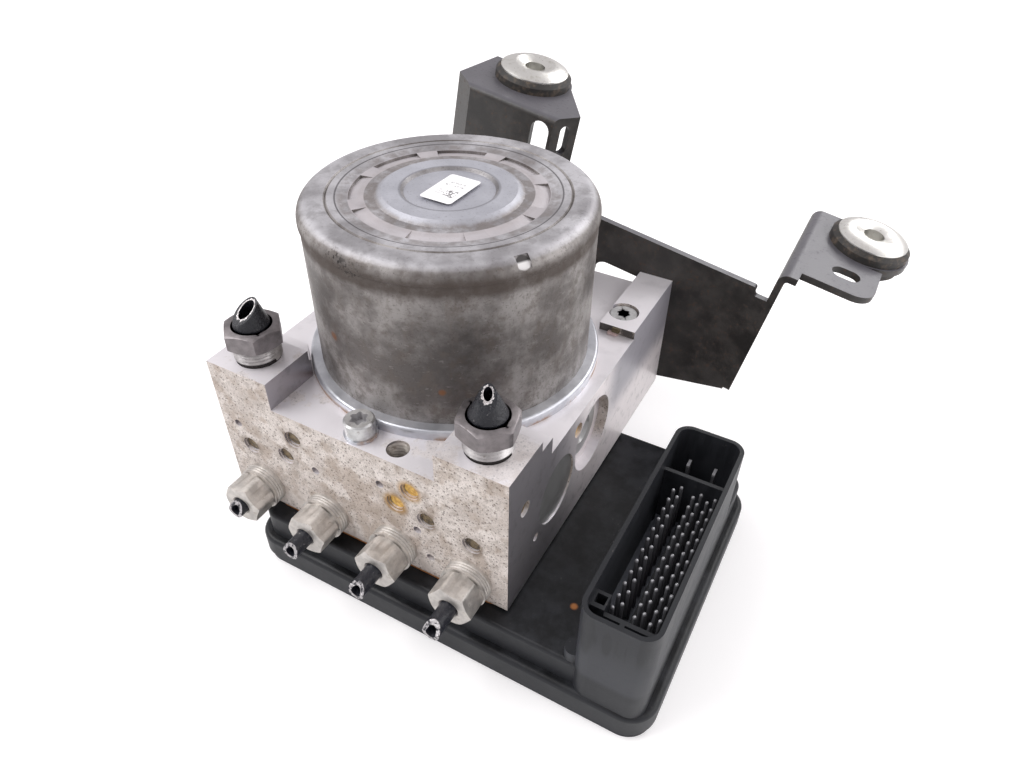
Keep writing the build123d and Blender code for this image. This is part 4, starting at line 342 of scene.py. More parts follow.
def weathered_aluminium():
    """The block: satin sawn sides with painted shade on the right one, a front that has gone pale and speckled, and
    painted shade on the raised pad's front face.
    """
    finish = Finish("weathered_aluminium", (0.75, 0.7, 0.7), 0.35, 0.8)
    front = finish.facing_axis("Y").fall(-0.9, -0.5)
    side = finish.facing_axis("X").rise(0.5, 0.9)
    up = finish.facing_axis("Z").rise(0.5, 0.9)
    across = finish.axis("X") / MM
    back = finish.axis("Y") / MM
    high = finish.axis("Z") / MM
    blotch = finish.noise(8.0, 5.0, 0.6)
    speck = finish.noise(1.7, 5.0, 0.62, shift=2.3)
    pepper = finish.noise(0.45, 3.0, 0.6, shift=5.1)
    cloud = finish.noise(3.6, 5.0, 0.62, shift=11.0)
    denser = across.rise(-10, 40) * 0.05 + high.fall(30, 24) * 0.04 + across.fall(-44, -20) * 0.03
    dark = (speck + denser).rise(0.57, 0.7) * blotch.rise(0.36, 0.52)
    grit = pepper.rise(0.55, 0.64) * (blotch + denser * 3).rise(0.4, 0.6)
    soiled = finish.spot(2, -49.1, 37, 4, 24, (1, 1, 1.4)) * 0.18 + finish.spot(-36, -49.1, 44, 2, 14) * 0.08
    brown = (finish.noise(5.0, 4.0, 0.6, shift=8.0) + denser * 0.3 + soiled).rise(0.5, 0.68)
    scattered = (blotch + denser * 3 + soiled).rise(0.42, 0.62)
    dots = finish.cells(1.15).fall(0.17, 0.3) * scattered + finish.cells(0.62).fall(0.16, 0.3) * scattered * 0.7
    sawn = finish.noise(0.9, 4.0, 0.5, stretch=(0.08, 0.08, 1.6), shift=4.0)
    clean = finish.mix(sawn, (0.78, 0.75, 0.78), (0.92, 0.89, 0.92))
    clean = finish.mix(blotch.rise(0.5, 0.75) * 0.3, clean, (0.5, 0.48, 0.5))
    # The right face: painted shade, darker towards the front and dark high up towards the back, with darker cloudy
    # patches.
    painted_shade_flank = finish.mix(back.rise(-26, 4), (0.42, 0.4, 0.43), (0.84, 0.78, 0.79))
    painted_shade_flank = finish.mix(back.rise(4, 18) * high.rise(34, 46) * 0.95, painted_shade_flank, (0.3, 0.29, 0.33))
    painted_shade_flank = finish.mix(cloud.rise(0.5, 0.7) * 0.4, painted_shade_flank, (0.2, 0.19, 0.2))
    clean = finish.mix(side * 0.95, clean, painted_shade_flank)
    hidden = (finish.facing_axis("X").fall(-0.9, -0.5) + finish.facing_axis("Y").rise(0.5, 0.9)).least(1.0)
    grubby = finish.mix(cloud.rise(0.4, 0.62), (0.52, 0.5, 0.51), (0.34, 0.31, 0.3))
    grubby = finish.mix(brown * 0.5, grubby, (0.3, 0.24, 0.19))
    clean = finish.mix(hidden * 0.9, clean, grubby)
    pale = finish.mix(blotch.rise(0.3, 0.66), (0.58, 0.52, 0.48), (0.8, 0.74, 0.7))
    pale = finish.mix(cloud.rise(0.5, 0.66) * 0.5, pale, (0.42, 0.37, 0.33))
    pale = finish.mix(brown * 0.5, pale, (0.36, 0.27, 0.2))
    halo = 0
    for low, high, _ in solids_of("ball_plugs"):
        middle = (low + high) / 2
        halo = halo + finish.spot(middle.x, middle.y, middle.z, 3.2, 5.2)
    pale = finish.mix((halo * (0.25 + brown * 0.5)).least(0.8), pale, (0.2, 0.15, 0.11))
    pale = finish.mix(dark * 0.3, pale, (0.24, 0.19, 0.15))
    pale = finish.mix(dots.least(1.0) * 0.7, pale, (0.14, 0.11, 0.09))
    pale = finish.mix(grit * 0.3, pale, (0.12, 0.095, 0.08))
    amber = (finish.spot(16.6, -49.1, 49.8, 2.4, 4.4) + finish.spot(11.7, -49.1, 42.9, 2.4, 4.6)).least(1.0)
    pale = finish.mix(amber * 0.6, pale, (0.5, 0.27, 0.05))
    # Painted shade on the front face of the raised pad near the back, in cloudy patches.
    pad_front_painted_shade = back.rise(20, 24) * (1 - back.rise(30, 32)) * cloud.rise(0.3, 0.5)
    pale = finish.mix(pad_front_painted_shade, pale, (0.09, 0.08, 0.075))
    settled = (blotch + across.rise(0, 30) * 0.12).rise(0.52, 0.62) * back.fall(-36, -30)
    dusty = (front + up * settled * 0.5).least(1.0)
    finish.colour(finish.mix(dusty, clean, pale))
    finish.roughness(0.3 + sawn * 0.12 + dusty * 0.28)
    finish.metallic(0.8 - (dusty + up * 0.8 + side * back.rise(-30, 0)).least(1.0) * 0.55)
    return finish.bump(sawn * 0.5 + pepper * 0.4 - front * dots, 0.04)


def stained_can():
    """The motor's can: dull zinc, brown below its rounded edge, with pits and scuffs, a painted dark reflection on
    its side, and painted shade along its top's groove lines and in its window.
    """
    finish = Finish("stained_can", (0.3, 0.28, 0.27), 0.5, 0.6)
    high = finish.axis("Z") / MM
    radius = finish.distance(0, 0, 0, (1, 1, 0))
    up = finish.facing_axis("Z").rise(0.55, 0.95)
    broad = finish.noise(15.0, 5.0, 0.6)
    streak = finish.noise(3.0, 5.0, 0.6, stretch=(1.0, 1.0, 0.35), shift=1.0)
    fine = finish.noise(0.6, 4.0, 0.65, shift=6.0)

    grime = finish.noise(4.5, 6.0, 0.68, shift=15.0)
    side = finish.mix(broad.rise(0.38, 0.62), (0.135, 0.122, 0.117), (0.36, 0.34, 0.33))
    # Painted reflection: a broad dark patch on the side, right of its middle, varied by grime.
    painted_dark_reflection = finish.spot(20, -32, 80, 2, 22, (1, 1, 0.8)) * (0.35 + grime)
    side = finish.mix(painted_dark_reflection.least(1.0) * 0.9, side, (0.06, 0.054, 0.053))
    side = finish.mix(grime.rise(0.47, 0.66) * 0.6, side, (0.12, 0.1, 0.088))
    side = finish.mix(streak.rise(0.5, 0.72) * 0.4, side, (0.15, 0.125, 0.11))
    scuff = finish.noise(2.2, 5.0, 0.7, stretch=(1.0, 1.0, 2.5), shift=9.0).rise(0.58, 0.7)
    side = finish.mix(scuff * 0.25, side, (0.4, 0.38, 0.37))
    side = finish.mix(fine.rise(0.56, 0.66) * 0.45, side, (0.075, 0.062, 0.056))
    orange = finish.spot(-12.5, -35.9, 78.5, 0.6, 1.7) + finish.spot(17.5, -33.7, 71.0, 0.4, 1.3)
    side = finish.mix(orange.least(1.0) * 0.7, side, (0.24, 0.09, 0.03))

    top = finish.mix(broad.rise(0.36, 0.64), (0.32, 0.31, 0.325), (0.54, 0.53, 0.555))
    top = finish.mix(grime.rise(0.48, 0.66) * 0.45, top, (0.21, 0.2, 0.205))
    hub = radius.fall(18.0, 19.2)
    top = finish.mix(hub * 0.7, top, (0.5, 0.51, 0.57))
    murky = radius.band(20.6, 1.6, 1.4) * streak.rise(0.3, 0.6)
    top = finish.mix(murky * 0.65, top, (0.2, 0.17, 0.155))
    outside = radius.band(26.8, 0.6, 1.4) * streak.rise(0.35, 0.65)
    top = finish.mix(outside * 0.6, top, (0.22, 0.19, 0.18))
    top = finish.mix(fine.rise(0.58, 0.68) * 0.35, top, (0.15, 0.13, 0.13))
    pads = radius.band(23.5, 1.9, 0.2) * high.fall(105.3, 105.62) * (0.3 + grime)
    top = finish.mix(pads * 0.8, top, (0.6, 0.56, 0.58))
    # Painted shade: thin dark lines along the top's groove and the cup's edge.
    line = (radius.band(28.6, 0.12, 0.18) + radius.band(12.3, 0.3, 0.6) * 0.6).least(1.0)
    top = finish.mix(line * 0.75, top, (0.07, 0.065, 0.07))

    body = finish.mix(up, side, top)
    # The window: pale below, with painted shade on its upper inner wall.
    window = finish.spot(31.3, -19.55, 104.0, 1.6, 2.0)
    body = finish.mix(window, body, finish.mix(high.rise(104.0, 104.5), (0.75, 0.73, 0.73), (0.07, 0.065, 0.065)))
    rust_patch = finish.noise(5.0, 5.0, 0.7, shift=3.3)
    edge = high.band(100.3, 1.1, 2.6) * (0.35 + rust_patch * 1.3)
    foot = high.fall(61.0, 66.0) * rust_patch.rise(0.5, 0.66) * 0.6
    freckle = rust_patch.rise(0.66, 0.74) * 0.4
    rust = (edge + foot + freckle).least(1.0) * (1 - up)
    body = finish.mix(rust * 0.85, body, (0.06, 0.044, 0.036))
    pits = finish.noise(0.75, 3.0, 0.6, shift=12.0).rise(0.54, 0.6)
    patches = finish.spot(-7, -36.3, 103, 1, 4.5, (1, 1, 1.6)) + finish.spot(-2.5, -37, 101.6, 1, 5.5, (1, 1, 1.8))
    pitted = pits * (patches + finish.spot(-36, -6, 103, 1, 3)).least(1.0)
    body = finish.mix(pitted, body, (0.02, 0.015, 0.013))
    finish.colour(body)
    finish.roughness(0.48 + (broad - 0.5) * 0.3 + rust * 0.25 + fine * 0.08)
    finish.metallic(0.66 - rust * 0.5 - pitted * 0.3)
    return finish.bump(fine + streak * 0.8 + rust * 0.8 - pitted * 2.0, 0.05)


def bare_zinc_ring():
    """The motor's end plate: pale zinc with a rust line low on its edge."""
    finish = Finish("bare_zinc_ring", (0.6, 0.62, 0.66), 0.38, 0.75)
    low = (finish.axis("Z") / MM).fall(58.2, 59.6)
    blotch = finish.noise(6.0, 5.0, 0.6)
    rust = blotch.rise(0.42, 0.58) * low
    base = finish.mix(blotch.rise(0.3, 0.7), (0.48, 0.49, 0.53), (0.66, 0.67, 0.71))
    finish.colour(finish.mix(rust * 0.8, base, (0.32, 0.17, 0.08)))
    finish.roughness(0.36 + rust * 0.35 + (blotch - 0.5) * 0.2)
    finish.metallic(0.75 - rust * 0.6)
    return finish.bump(blotch, 0.03)


def cut_tube(name, tip, normal, bore_foot, bore_taper):
    """Black plastic over steel, silver round the bore on its cut, which is a plane through tip."""
    finish = Finish(name, (0.02, 0.02, 0.026), 0.34)
    normal = Vector(normal).normalized()
    past = finish.along(normal) - Vector(tip).dot(normal)
    scrape = finish.noise(0.7, 3.0, 0.6)
    scratch = finish.noise(1.6, 4.0, 0.7, shift=4.0).rise(0.66, 0.7)
    bore = bore_foot - (finish.axis("Z") / MM - tip[2]) * bore_taper
    wall = finish.distance(tip[0], tip[1], 0, (1, 1, 0)) - bore
    jagged = (wall + (scrape - 0.5) * 1.6).fall(0.25, 0.4)
    cut = past.rise(-0.15, -0.05) * jagged
    steel = (cut + scratch * 0.3).least(1.0)
    finish.colour(finish.mix(steel, (0.012, 0.013, 0.018), (0.66, 0.63, 0.63)))
    finish.metallic(steel)
    finish.roughness(0.3 + (scrape - 0.5) * 0.3)
    return finish.bump(scrape, 0.3)


def torn_tubes():
    """Black plastic over steel, with torn silver ends where the tubes were cut."""
    finish = Finish("front_tube_black", (0.02, 0.02, 0.026), 0.34)
    cut = finish.facing_axis("Y").fall(-0.6, -0.3)
    scrape = finish.noise(0.9, 3.0, 0.6)
    scratch = finish.noise(1.4, 4.0, 0.7, shift=4.0).rise(0.63, 0.67)
    steel = (cut * scrape.rise(0.4, 0.52) + scratch * 0.35).least(1.0)
    finish.colour(finish.mix(steel, (0.014, 0.015, 0.022), (0.52, 0.5, 0.51)))
    finish.metallic(steel)
    finish.roughness(0.32 + (scrape - 0.5) * 0.25)
    return finish.bump(scrape, 0.3)


def printed_label(centre, turn, colour):
    """A plain white sticker with faint bars and a patch of small squares."""
    finish = Finish("printed_label", colour, 0.5)
    right = Vector((math.cos(turn), math.sin(turn), 0))
    ahead = Vector((-math.sin(turn), math.cos(turn), 0))
    across = finish.along(right) - Vector(centre).dot(right)
    along = finish.along(ahead) - Vector(centre).dot(ahead)
    paper = finish.noise(3.0, 4.0, 0.6)
    ticks = finish.noise(0.5, 1.0, 0.5, shift=2.0).rise(0.45, 0.52)
    bars = along.band(3.2, 0.32, 0.1) * across.band(-0.3, 2.6, 0.2)
    bars = bars + along.band(1.7, 0.32, 0.1) * across.band(0.3, 3.0, 0.2)
    bars = bars + along.band(-2.4, 1.2, 0.2) * across.band(-1.6, 0.9, 0.3) * 0.6
    cell = finish.add(
        "ShaderNodeVectorMath", {"operation": "SNAP"}, {0: finish.place, 1: (0.42 * MM, 0.42 * MM, 1.0)}
    )
    square = finish.add("ShaderNodeTexWhiteNoise", {}, {"Vector": cell}).rise(0.46, 0.48)
    patch = along.band(-2.5, 1.75, 0.05) * across.band(1.4, 1.75, 0.05)
    ink = (bars * ticks * 0.6 + patch * square * 0.85).least(1.0)
    white = finish.mix(paper.rise(0.3, 0.7), tuple(c * 0.94 for c in colour), colour)
    finish.colour(finish.mix(ink, white, (0.08, 0.075, 0.08)))
    finish.roughness(0.42 + paper * 0.2)
    return finish.bump(paper, 0.03)


def painted_sheet():
    """The bracket: worn black paint with small rust specks, and a painted violet grey sheen on its ears."""
    finish = Finish("painted_sheet", (0.03, 0.03, 0.032), 0.4)
    up = finish.facing_axis("Z").rise(0.5, 0.9)
    blotch = finish.noise(8.0, 5.0, 0.6)
    speck = finish.noise(1.3, 4.0, 0.7, shift=4.4)
    rust = speck.rise(0.56, 0.64) * blotch.rise(0.38, 0.56)
    plate = finish.mix(blotch.rise(0.35, 0.7), (0.022, 0.02, 0.019), (0.05, 0.045, 0.042))
    # Painted sheen: upward faces, the ears, are lighter violet grey.
    painted_ear_sheen = finish.mix(blotch, (0.07, 0.068, 0.078), (0.13, 0.125, 0.14))
    body = finish.mix(up, plate, painted_ear_sheen)
    finish.colour(finish.mix(rust * (1 - up) * 0.6, body, (0.085, 0.052, 0.036)))
    finish.roughness(0.36 + rust * 0.3 + (blotch - 0.5) * 0.2)
    return finish.bump(speck + blotch, 0.05)


def ball_finish():
    """The steel balls that close the drillings: brown, with two that amber sealer has run over."""
    finish = Finish("ball_brown", (0.2, 0.16, 0.11), 0.5, 0.5)
    dull = finish.noise(1.2, 4.0, 0.6)
    across = finish.axis("X") / MM
    back = finish.axis("Y") / MM
    amber = (across.band(16.6, 2.0, 0.4) + across.band(11.7, 2.0, 0.4)) * back.fall(-44, -43)
    amber = (amber + across.rise(40, 41) * back.band(-10.6, 2.2, 0.4)).least(1.0)
    base = finish.mix(dull.rise(0.35, 0.65), (0.06, 0.045, 0.03), (0.24, 0.18, 0.1))
    gold = finish.mix(dull.rise(0.35, 0.65), (0.5, 0.26, 0.04), (0.78, 0.5, 0.12))
    finish.colour(finish.mix(amber, base, gold))
    finish.roughness(0.42 + (dull - 0.5) * 0.3)
    finish.metallic(0.35 - amber * 0.3)
    return finish.bump(dull, 0.06)


def bush_rubber():
    finish = Finish("bush_rubber", (0.03, 0.026, 0.023), 0.55)
    grime = finish.noise(2.5, 5.0, 0.65)
    finish.colour(finish.mix(grime.rise(0.45, 0.7), (0.022, 0.02, 0.019), (0.1, 0.075, 0.055)))
    finish.roughness(0.5 + grime * 0.2)
    return finish.bump(grime, 0.08)


def bright_zinc():
    finish = Finish("bright_zinc", (0.8, 0.8, 0.78), 0.22, 1.0)
    worn = finish.noise(2.2, 5.0, 0.6)
    turned = finish.noise(0.6, 3.0, 0.5)
    finish.colour(finish.mix(worn.rise(0.5, 0.8), (0.82, 0.81, 0.78), (0.58, 0.56, 0.5)))
    finish.roughness(0.2 + worn * 0.22)
    return finish.bump(turned + worn, 0.02)


def plain(name, colour, roughness=0.5, metallic=0.0, size=2.0):
    finish = Finish(name, colour, roughness, metallic)
    blotch = finish.noise(size, 4.0, 0.6)
    finish.colour(finish.mix(blotch, tuple(c * 0.8 for c in colour), tuple(min(1.0, c * 1.18) for c in colour)))
    finish.roughness(roughness + (blotch - 0.5) * 0.25)
    return finish.bump(blotch, 0.02)


# ---- Pieces ---------------------------------------------------------------------------------
def make_piece(name, shape, finish, body="module", stands_for=(), smooth=True):
    """An object from a bmesh, at the origin, riding on a body."""
    mesh = bpy.data.meshes.new(name)
    bmesh.ops.remove_doubles(shape, verts=shape.verts, dist=1e-6)
    bmesh.ops.recalc_face_normals(shape, faces=shape.faces)
    shape.to_mesh(mesh)
    shape.free()
    thing = bpy.data.objects.new(name, mesh)
    bpy.context.scene.collection.objects.link(thing)
    mesh.materials.append(finish.material)
    if smooth:
        mesh.shade_smooth()
        mesh.set_sharp_from_angle(angle=math.radians(35))
    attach(thing, body)
    if stands_for:
        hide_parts(*stands_for)
    return thing


def solids_of(node):
    """The lowest and highest corner of each separate solid of a part, in millimetres, left to right."""
    shape = bmesh.new()
    shape.from_mesh(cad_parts[node].data)
    bmesh.ops.remove_doubles(shape, verts=shape.verts, dist=1e-6)
    waiting = set(shape.verts)
    boxes = []
    while waiting:
        edge = [waiting.pop()]
        found = []
        while edge:
            vert = edge.pop()
            found.append(vert.co / MM)
            near = {link.other_vert(vert) for link in vert.link_edges} & waiting
            waiting -= near
            edge.extend(near)
        boxes.append((*(Vector(map(pick, zip(*found))) for pick in (min, max)), found))
    shape.free()
    return sorted(boxes, key=lambda box: tuple(box[0]))


def turned_nut(shape, place, corner, flat, profile, steps=72):
    """A nut made of rings up its axis, each (radius, height). A radius of 0 follows the hexagon, whose
    corners are turned off by its third value: 1 at the foot of the flats and -1 at their top."""
    loops = []
    for radius, height, *side in profile:
        ring = []
        for index in range(steps):
            angle = math.tau * index / steps
            lean = (angle - corner) % math.radians(60) - math.radians(30)
            reach = radius or flat / math.cos(lean)
            drop = (reach - flat * 0.97) * 0.577 * side[0] if side else 0.0
            point = Vector((reach * math.cos(angle), reach * math.sin(angle), height + drop))
            ring.append(shape.verts.new(place @ (point * MM)))
        loops.append([shape.edges.new((ring[index], ring[(index + 1) % steps])) for index in range(steps)])
    for low, high in zip(loops, loops[1:] + loops[:1]):
        bmesh.ops.bridge_loops(shape, edges=low + high)


def domed_pin(shape, low, high):
    """A round pin with a domed end, as tall as a square pin's box."""
    radius = PIN_RADIUS
    middle = (low + high) / 2
    made = bmesh.ops.create_cone(
        shape,
        cap_ends=True,
        segments=12,
        radius1=radius * MM,
        radius2=radius * MM,
        depth=(high.z - low.z) * MM,
        matrix=Matrix.Translation(middle * MM),
    )
    crown = {
        edge
        for vert in made["verts"]
        for edge in vert.link_edges
        if all(end.co.z > (high.z - 0.01) * MM for end in edge.verts)
    }
    bmesh.ops.bevel(
        shape, geom=list(crown), offset=radius * 0.8 * MM, segments=3, profile=0.5, affect="EDGES"
    )


def thread_coil(shape, centre, radius, depth, pitch, turns, steps=40):
    """A V thread wound up from centre, in millimetres, about Z."""
    before = set(shape.verts)
    section = [
        shape.verts.new((radius * MM, 0, -0.5 * pitch * MM)),
        shape.verts.new(((radius + depth) * MM, 0, 0)),
        shape.verts.new((radius * MM, 0, 0.5 * pitch * MM)),
    ]
    edges = [shape.edges.new(section[:2]), shape.edges.new(section[1:])]
    bmesh.ops.spin(
        shape,
        geom=section + edges,
        cent=(0, 0, 0),
        axis=(0, 0, 1),
        dvec=(0, 0, pitch * MM / steps),
        angle=2 * math.pi * turns,
        steps=round(steps * turns),
    )
    made = [vert for vert in shape.verts if vert not in before]
    bmesh.ops.translate(shape, verts=made, vec=Vector(centre) * MM)


def six_lobe_head(shape, centre, radius, height, recess, recess_depth, shank, shank_length):
    """A round screw head with a six-lobed recess and its shank, about Z, sitting on centre."""
    count = 48
    rings = []
    before = set(shape.verts)

    def ring(place):
        made = [shape.verts.new(Vector(place(math.tau * index / count)) * MM) for index in range(count)]
        rings.append([shape.edges.new((made[index], made[(index + 1) % count])) for index in range(count)])

    def circle(r, z):
        return lambda angle: (r * math.cos(angle), r * math.sin(angle), z)

    def lobes(r, z):
        def place(angle):
            reach = r * (0.86 + 0.14 * math.cos(6 * angle))
            return (reach * math.cos(angle), reach * math.sin(angle), z)

        return place

    edge = 0.45
    for place in (
        circle(shank, -shank_length),
        circle(shank, 0),
        circle(radius, 0),
        circle(radius, height - edge),
        circle(radius - edge, height),
        lobes(recess, height),
        lobes(recess * 0.94, height - recess_depth),
    ):
        ring(place)
    for low, high in zip(rings, rings[1:]):
        walls = bmesh.ops.bridge_loops(shape, edges=low + high)["faces"]
    bmesh.ops.edgeloop_fill(shape, edges=rings[0])
    floor = bmesh.ops.edgeloop_fill(shape, edges=rings[-1])["faces"]
    for face in walls + floor:
        face.material_index = 1
    made = [vert for vert in shape.verts if vert not in before]
    bmesh.ops.translate(shape, verts=made, vec=Vector(centre) * MM)


# ---- Sizes and colours that a user may change -----------------------------------------------
class ModuleSettings(bpy.types.PropertyGroup):
    """Sizes and colours of the module's small pieces."""

    thread_pitch: bpy.props.FloatProperty(
        name="Thread pitch", description="Rise of the line nuts' thread in a turn, mm", default=1.0, min=0.5, max=2.0
    )
    thread_depth: bpy.props.FloatProperty(
        name="Thread depth", description="Height of the line nuts' thread, mm", default=0.4, min=0.1, max=1.0
    )
    housing_colour: bpy.props.FloatVectorProperty(
        name="Housing", description="Colour of the control unit's plastic", subtype="COLOR", size=3,
        default=(0.016, 0.017, 0.02), min=0, max=1,
    )
    label_colour: bpy.props.FloatVectorProperty(
        name="Label", description="Colour of the sticker on the motor", subtype="COLOR", size=3,
        default=(0.9, 0.89, 0.9), min=0, max=1,
    )
    floor_colour: bpy.props.FloatVectorProperty(
        name="Floor", description="Colour of the floor", subtype="COLOR", size=3,
        default=(0.86, 0.86, 0.86), min=0, max=1,
    )


class MODULE_OT_control_unit(bpy.types.Operator):
    """Finish the control unit's housing, pins and board"""

    bl_idname = "module.control_unit"
    bl_label = "Control unit"

    def execute(self, context):
        colour = tuple(context.scene.brake_module.housing_colour)
        moulded_black("housing_black", colour).on("ecu_housing")
        moulded_black("cover_black", tuple(c * 1.6 for c in colour), 0.45).on("ecu_cover")
        tin = pin_tin().on("power_blades")
        pins = bmesh.new()
        for low, high, _ in solids_of("signal_pins"):
            domed_pin(pins, low, high)
        make_piece("domed_signal_pins", pins, tin, stands_for=("signal_pins",))
        plain("board_green", (0.03, 0.16, 0.07), 0.4).on("circuit_board")
        plain("chip_black", (0.02, 0.02, 0.021), 0.5).on("processor_chip")
        plain("capacitor_can", (0.55, 0.55, 0.57), 0.3, 1.0).on("supply_capacitors")
        plain("ferrite", (0.07, 0.07, 0.072), 0.6).on("supply_choke")
        plain("coil_wrap", (0.06, 0.06, 0.065), 0.5).on("solenoid_coils")
        plain("pillar_black", (0.03, 0.03, 0.032), 0.5).on("board_pillars", "motor_lead_sleeve", "brush_holder")
        plain("seal_brown", (0.42, 0.17, 0.06), 0.65, 0.0, 1.2).on("housing_seal")
        dull_zinc("unit_screw_zinc", (0.55, 0.56, 0.57)).on("unit_screws")
        return {"FINISHED"}


class MODULE_OT_valve_block(bpy.types.Operator):
    """Finish the valve block with its plugs, nuts and tubes"""

    bl_idname = "module.valve_block"
    bl_label = "Valve block"

    def execute(self, context):
        weathered_aluminium().on("valve_block")
        plain("valve_steel", (0.5, 0.5, 0.51), 0.3, 1.0).on("valve_cartridges")
        ball_finish().on("ball_plugs")
        plain("plug_dull", (0.5, 0.5, 0.5), 0.4, 0.85).on("pump_plug_left", "pump_plug_right")
        plain("cap_dull", (0.36, 0.36, 0.36), 0.42, 0.8, 3.0).on("accumulator_cap_left", "accumulator_cap_right")
        plain("spring_steel", (0.45, 0.45, 0.46), 0.3, 1.0).on(
            "pump_spring_left", "pump_spring_right", "accumulator_spring_left", "accumulator_spring_right",
            "brush_springs",
        )
        plain("piston_steel", (0.6, 0.6, 0.61), 0.22, 1.0).on(
            "pump_piston_left", "pump_piston_right", "accumulator_piston_left", "accumulator_piston_right"
        )
        torn_tubes().on("front_tubes")
        for side, above, facing, slope, bore, taper in TUBE_CUTS:
            low, high = (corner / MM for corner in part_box(f"post_tube_{side}"))
            tip = ((low.x + high.x) / 2, (low.y + high.y) / 2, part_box("post_port_nuts")[1].z / MM + above)
            turn, lean = math.radians(facing), math.radians(slope)
            normal = (math.sin(turn) * math.sin(lean), -math.cos(turn) * math.sin(lean), math.cos(lean))
            cut_tube(f"post_tube_black_{side}", tip, normal, bore, taper).on(f"post_tube_{side}")
        return {"FINISHED"}


class MODULE_OT_motor(bpy.types.Operator):
    """Finish the motor and what turns in it"""

    bl_idname = "module.motor"
    bl_label = "Motor"

    def execute(self, context):
        stained_can().on("motor_can")
        bare_zinc_ring().on("motor_flange")
        plain("ground_steel", (0.55, 0.55, 0.56), 0.22, 1.0).on(
            "rotor_shaft", "pump_eccentric", "eccentric_ring", "lower_bearing", "upper_bearing"
        )
        plain("stacked_steel", (0.28, 0.28, 0.29), 0.45, 0.9).on("armature_core")
        plain("enamelled_copper", (0.62, 0.26, 0.1), 0.3, 0.9).on("armature_windings", "commutator")
        plain("ferrite_magnet", (0.1, 0.1, 0.105), 0.6).on("field_magnets")
        plain("carbon", (0.04, 0.04, 0.04), 0.6).on("brushes")
        return {"FINISHED"}


class MODULE_OT_bracket(bpy.types.Operator):
    """Finish the bracket, its bushes and sleeves"""

    bl_idname = "module.bracket"
    bl_label = "Bracket"

    def execute(self, context):
        painted_sheet().on("bracket")
        bush_rubber().on("rubber_bush_left", "rubber_bush_right")
        bright_zinc().on("bush_sleeve_left", "bush_sleeve_right")
        dull_zinc("bracket_screw_zinc", (0.5, 0.5, 0.5)).on("bracket_screws")
        return {"FINISHED"}


class MODULE_OT_threads(bpy.types.Operator):
    """Wind the threads that show below the two upper line nuts"""

    bl_idname = "module.threads"
    bl_label = "Threads"

    def execute(self, context):
        settings = context.scene.brake_module
        post_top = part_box("valve_block")[1].z / MM
        shape = bmesh.new()
        for low, high, _ in solids_of("post_port_nuts"):
            middle = (low + high) / 2
            thread_coil(
                shape,
                (middle.x, middle.y, post_top + 0.5 * settings.thread_pitch),
                THREAD_CORE,
                settings.thread_depth,
                settings.thread_pitch,
                THREAD_TURNS,
            )
        finish = dull_zinc("thread_zinc", (0.5, 0.48, 0.48), (0.13, 0.1, 0.08), 0.36, 2.0)
        make_piece("post_nut_threads", shape, finish)
        hole = bmesh.new()
        thread_coil(
            hole,
            (*SPARE_HOLE, SPARE_HOLE_TOP - (SPARE_HOLE_TURNS + 0.6) * settings.thread_pitch),
            SPARE_HOLE_RADIUS,
            -settings.thread_depth,
            settings.thread_pitch,
            SPARE_HOLE_TURNS,
        )
        tapped = dull_zinc("tapped_aluminium", (0.5, 0.46, 0.42), (0.2, 0.14, 0.1), 0.4, 2.0)
        make_piece("spare_hole_thread", hole, tapped)
        return {"FINISHED"}


class MODULE_OT_sealer(bpy.types.Operator):
    """Leave two crumbs of sealer at the foot of the right rear post"""

    bl_idname = "module.sealer"
    bl_label = "Sealer crumbs"

    def execute(self, context):
        for name, middle, size, colour in SEALER_CRUMBS:
            shape = bmesh.new()
            bmesh.ops.create_cube(shape, size=MM)
            bmesh.ops.scale(shape, vec=size, verts=shape.verts)
            bmesh.ops.bevel(shape, geom=shape.edges[:], offset=0.25 * MM, segments=2, affect="EDGES")
            bmesh.ops.translate(shape, vec=Vector(middle) * MM, verts=shape.verts)
            make_piece(name, shape, plain(name, colour, 0.6, 0.0, 0.8))
        return {"FINISHED"}


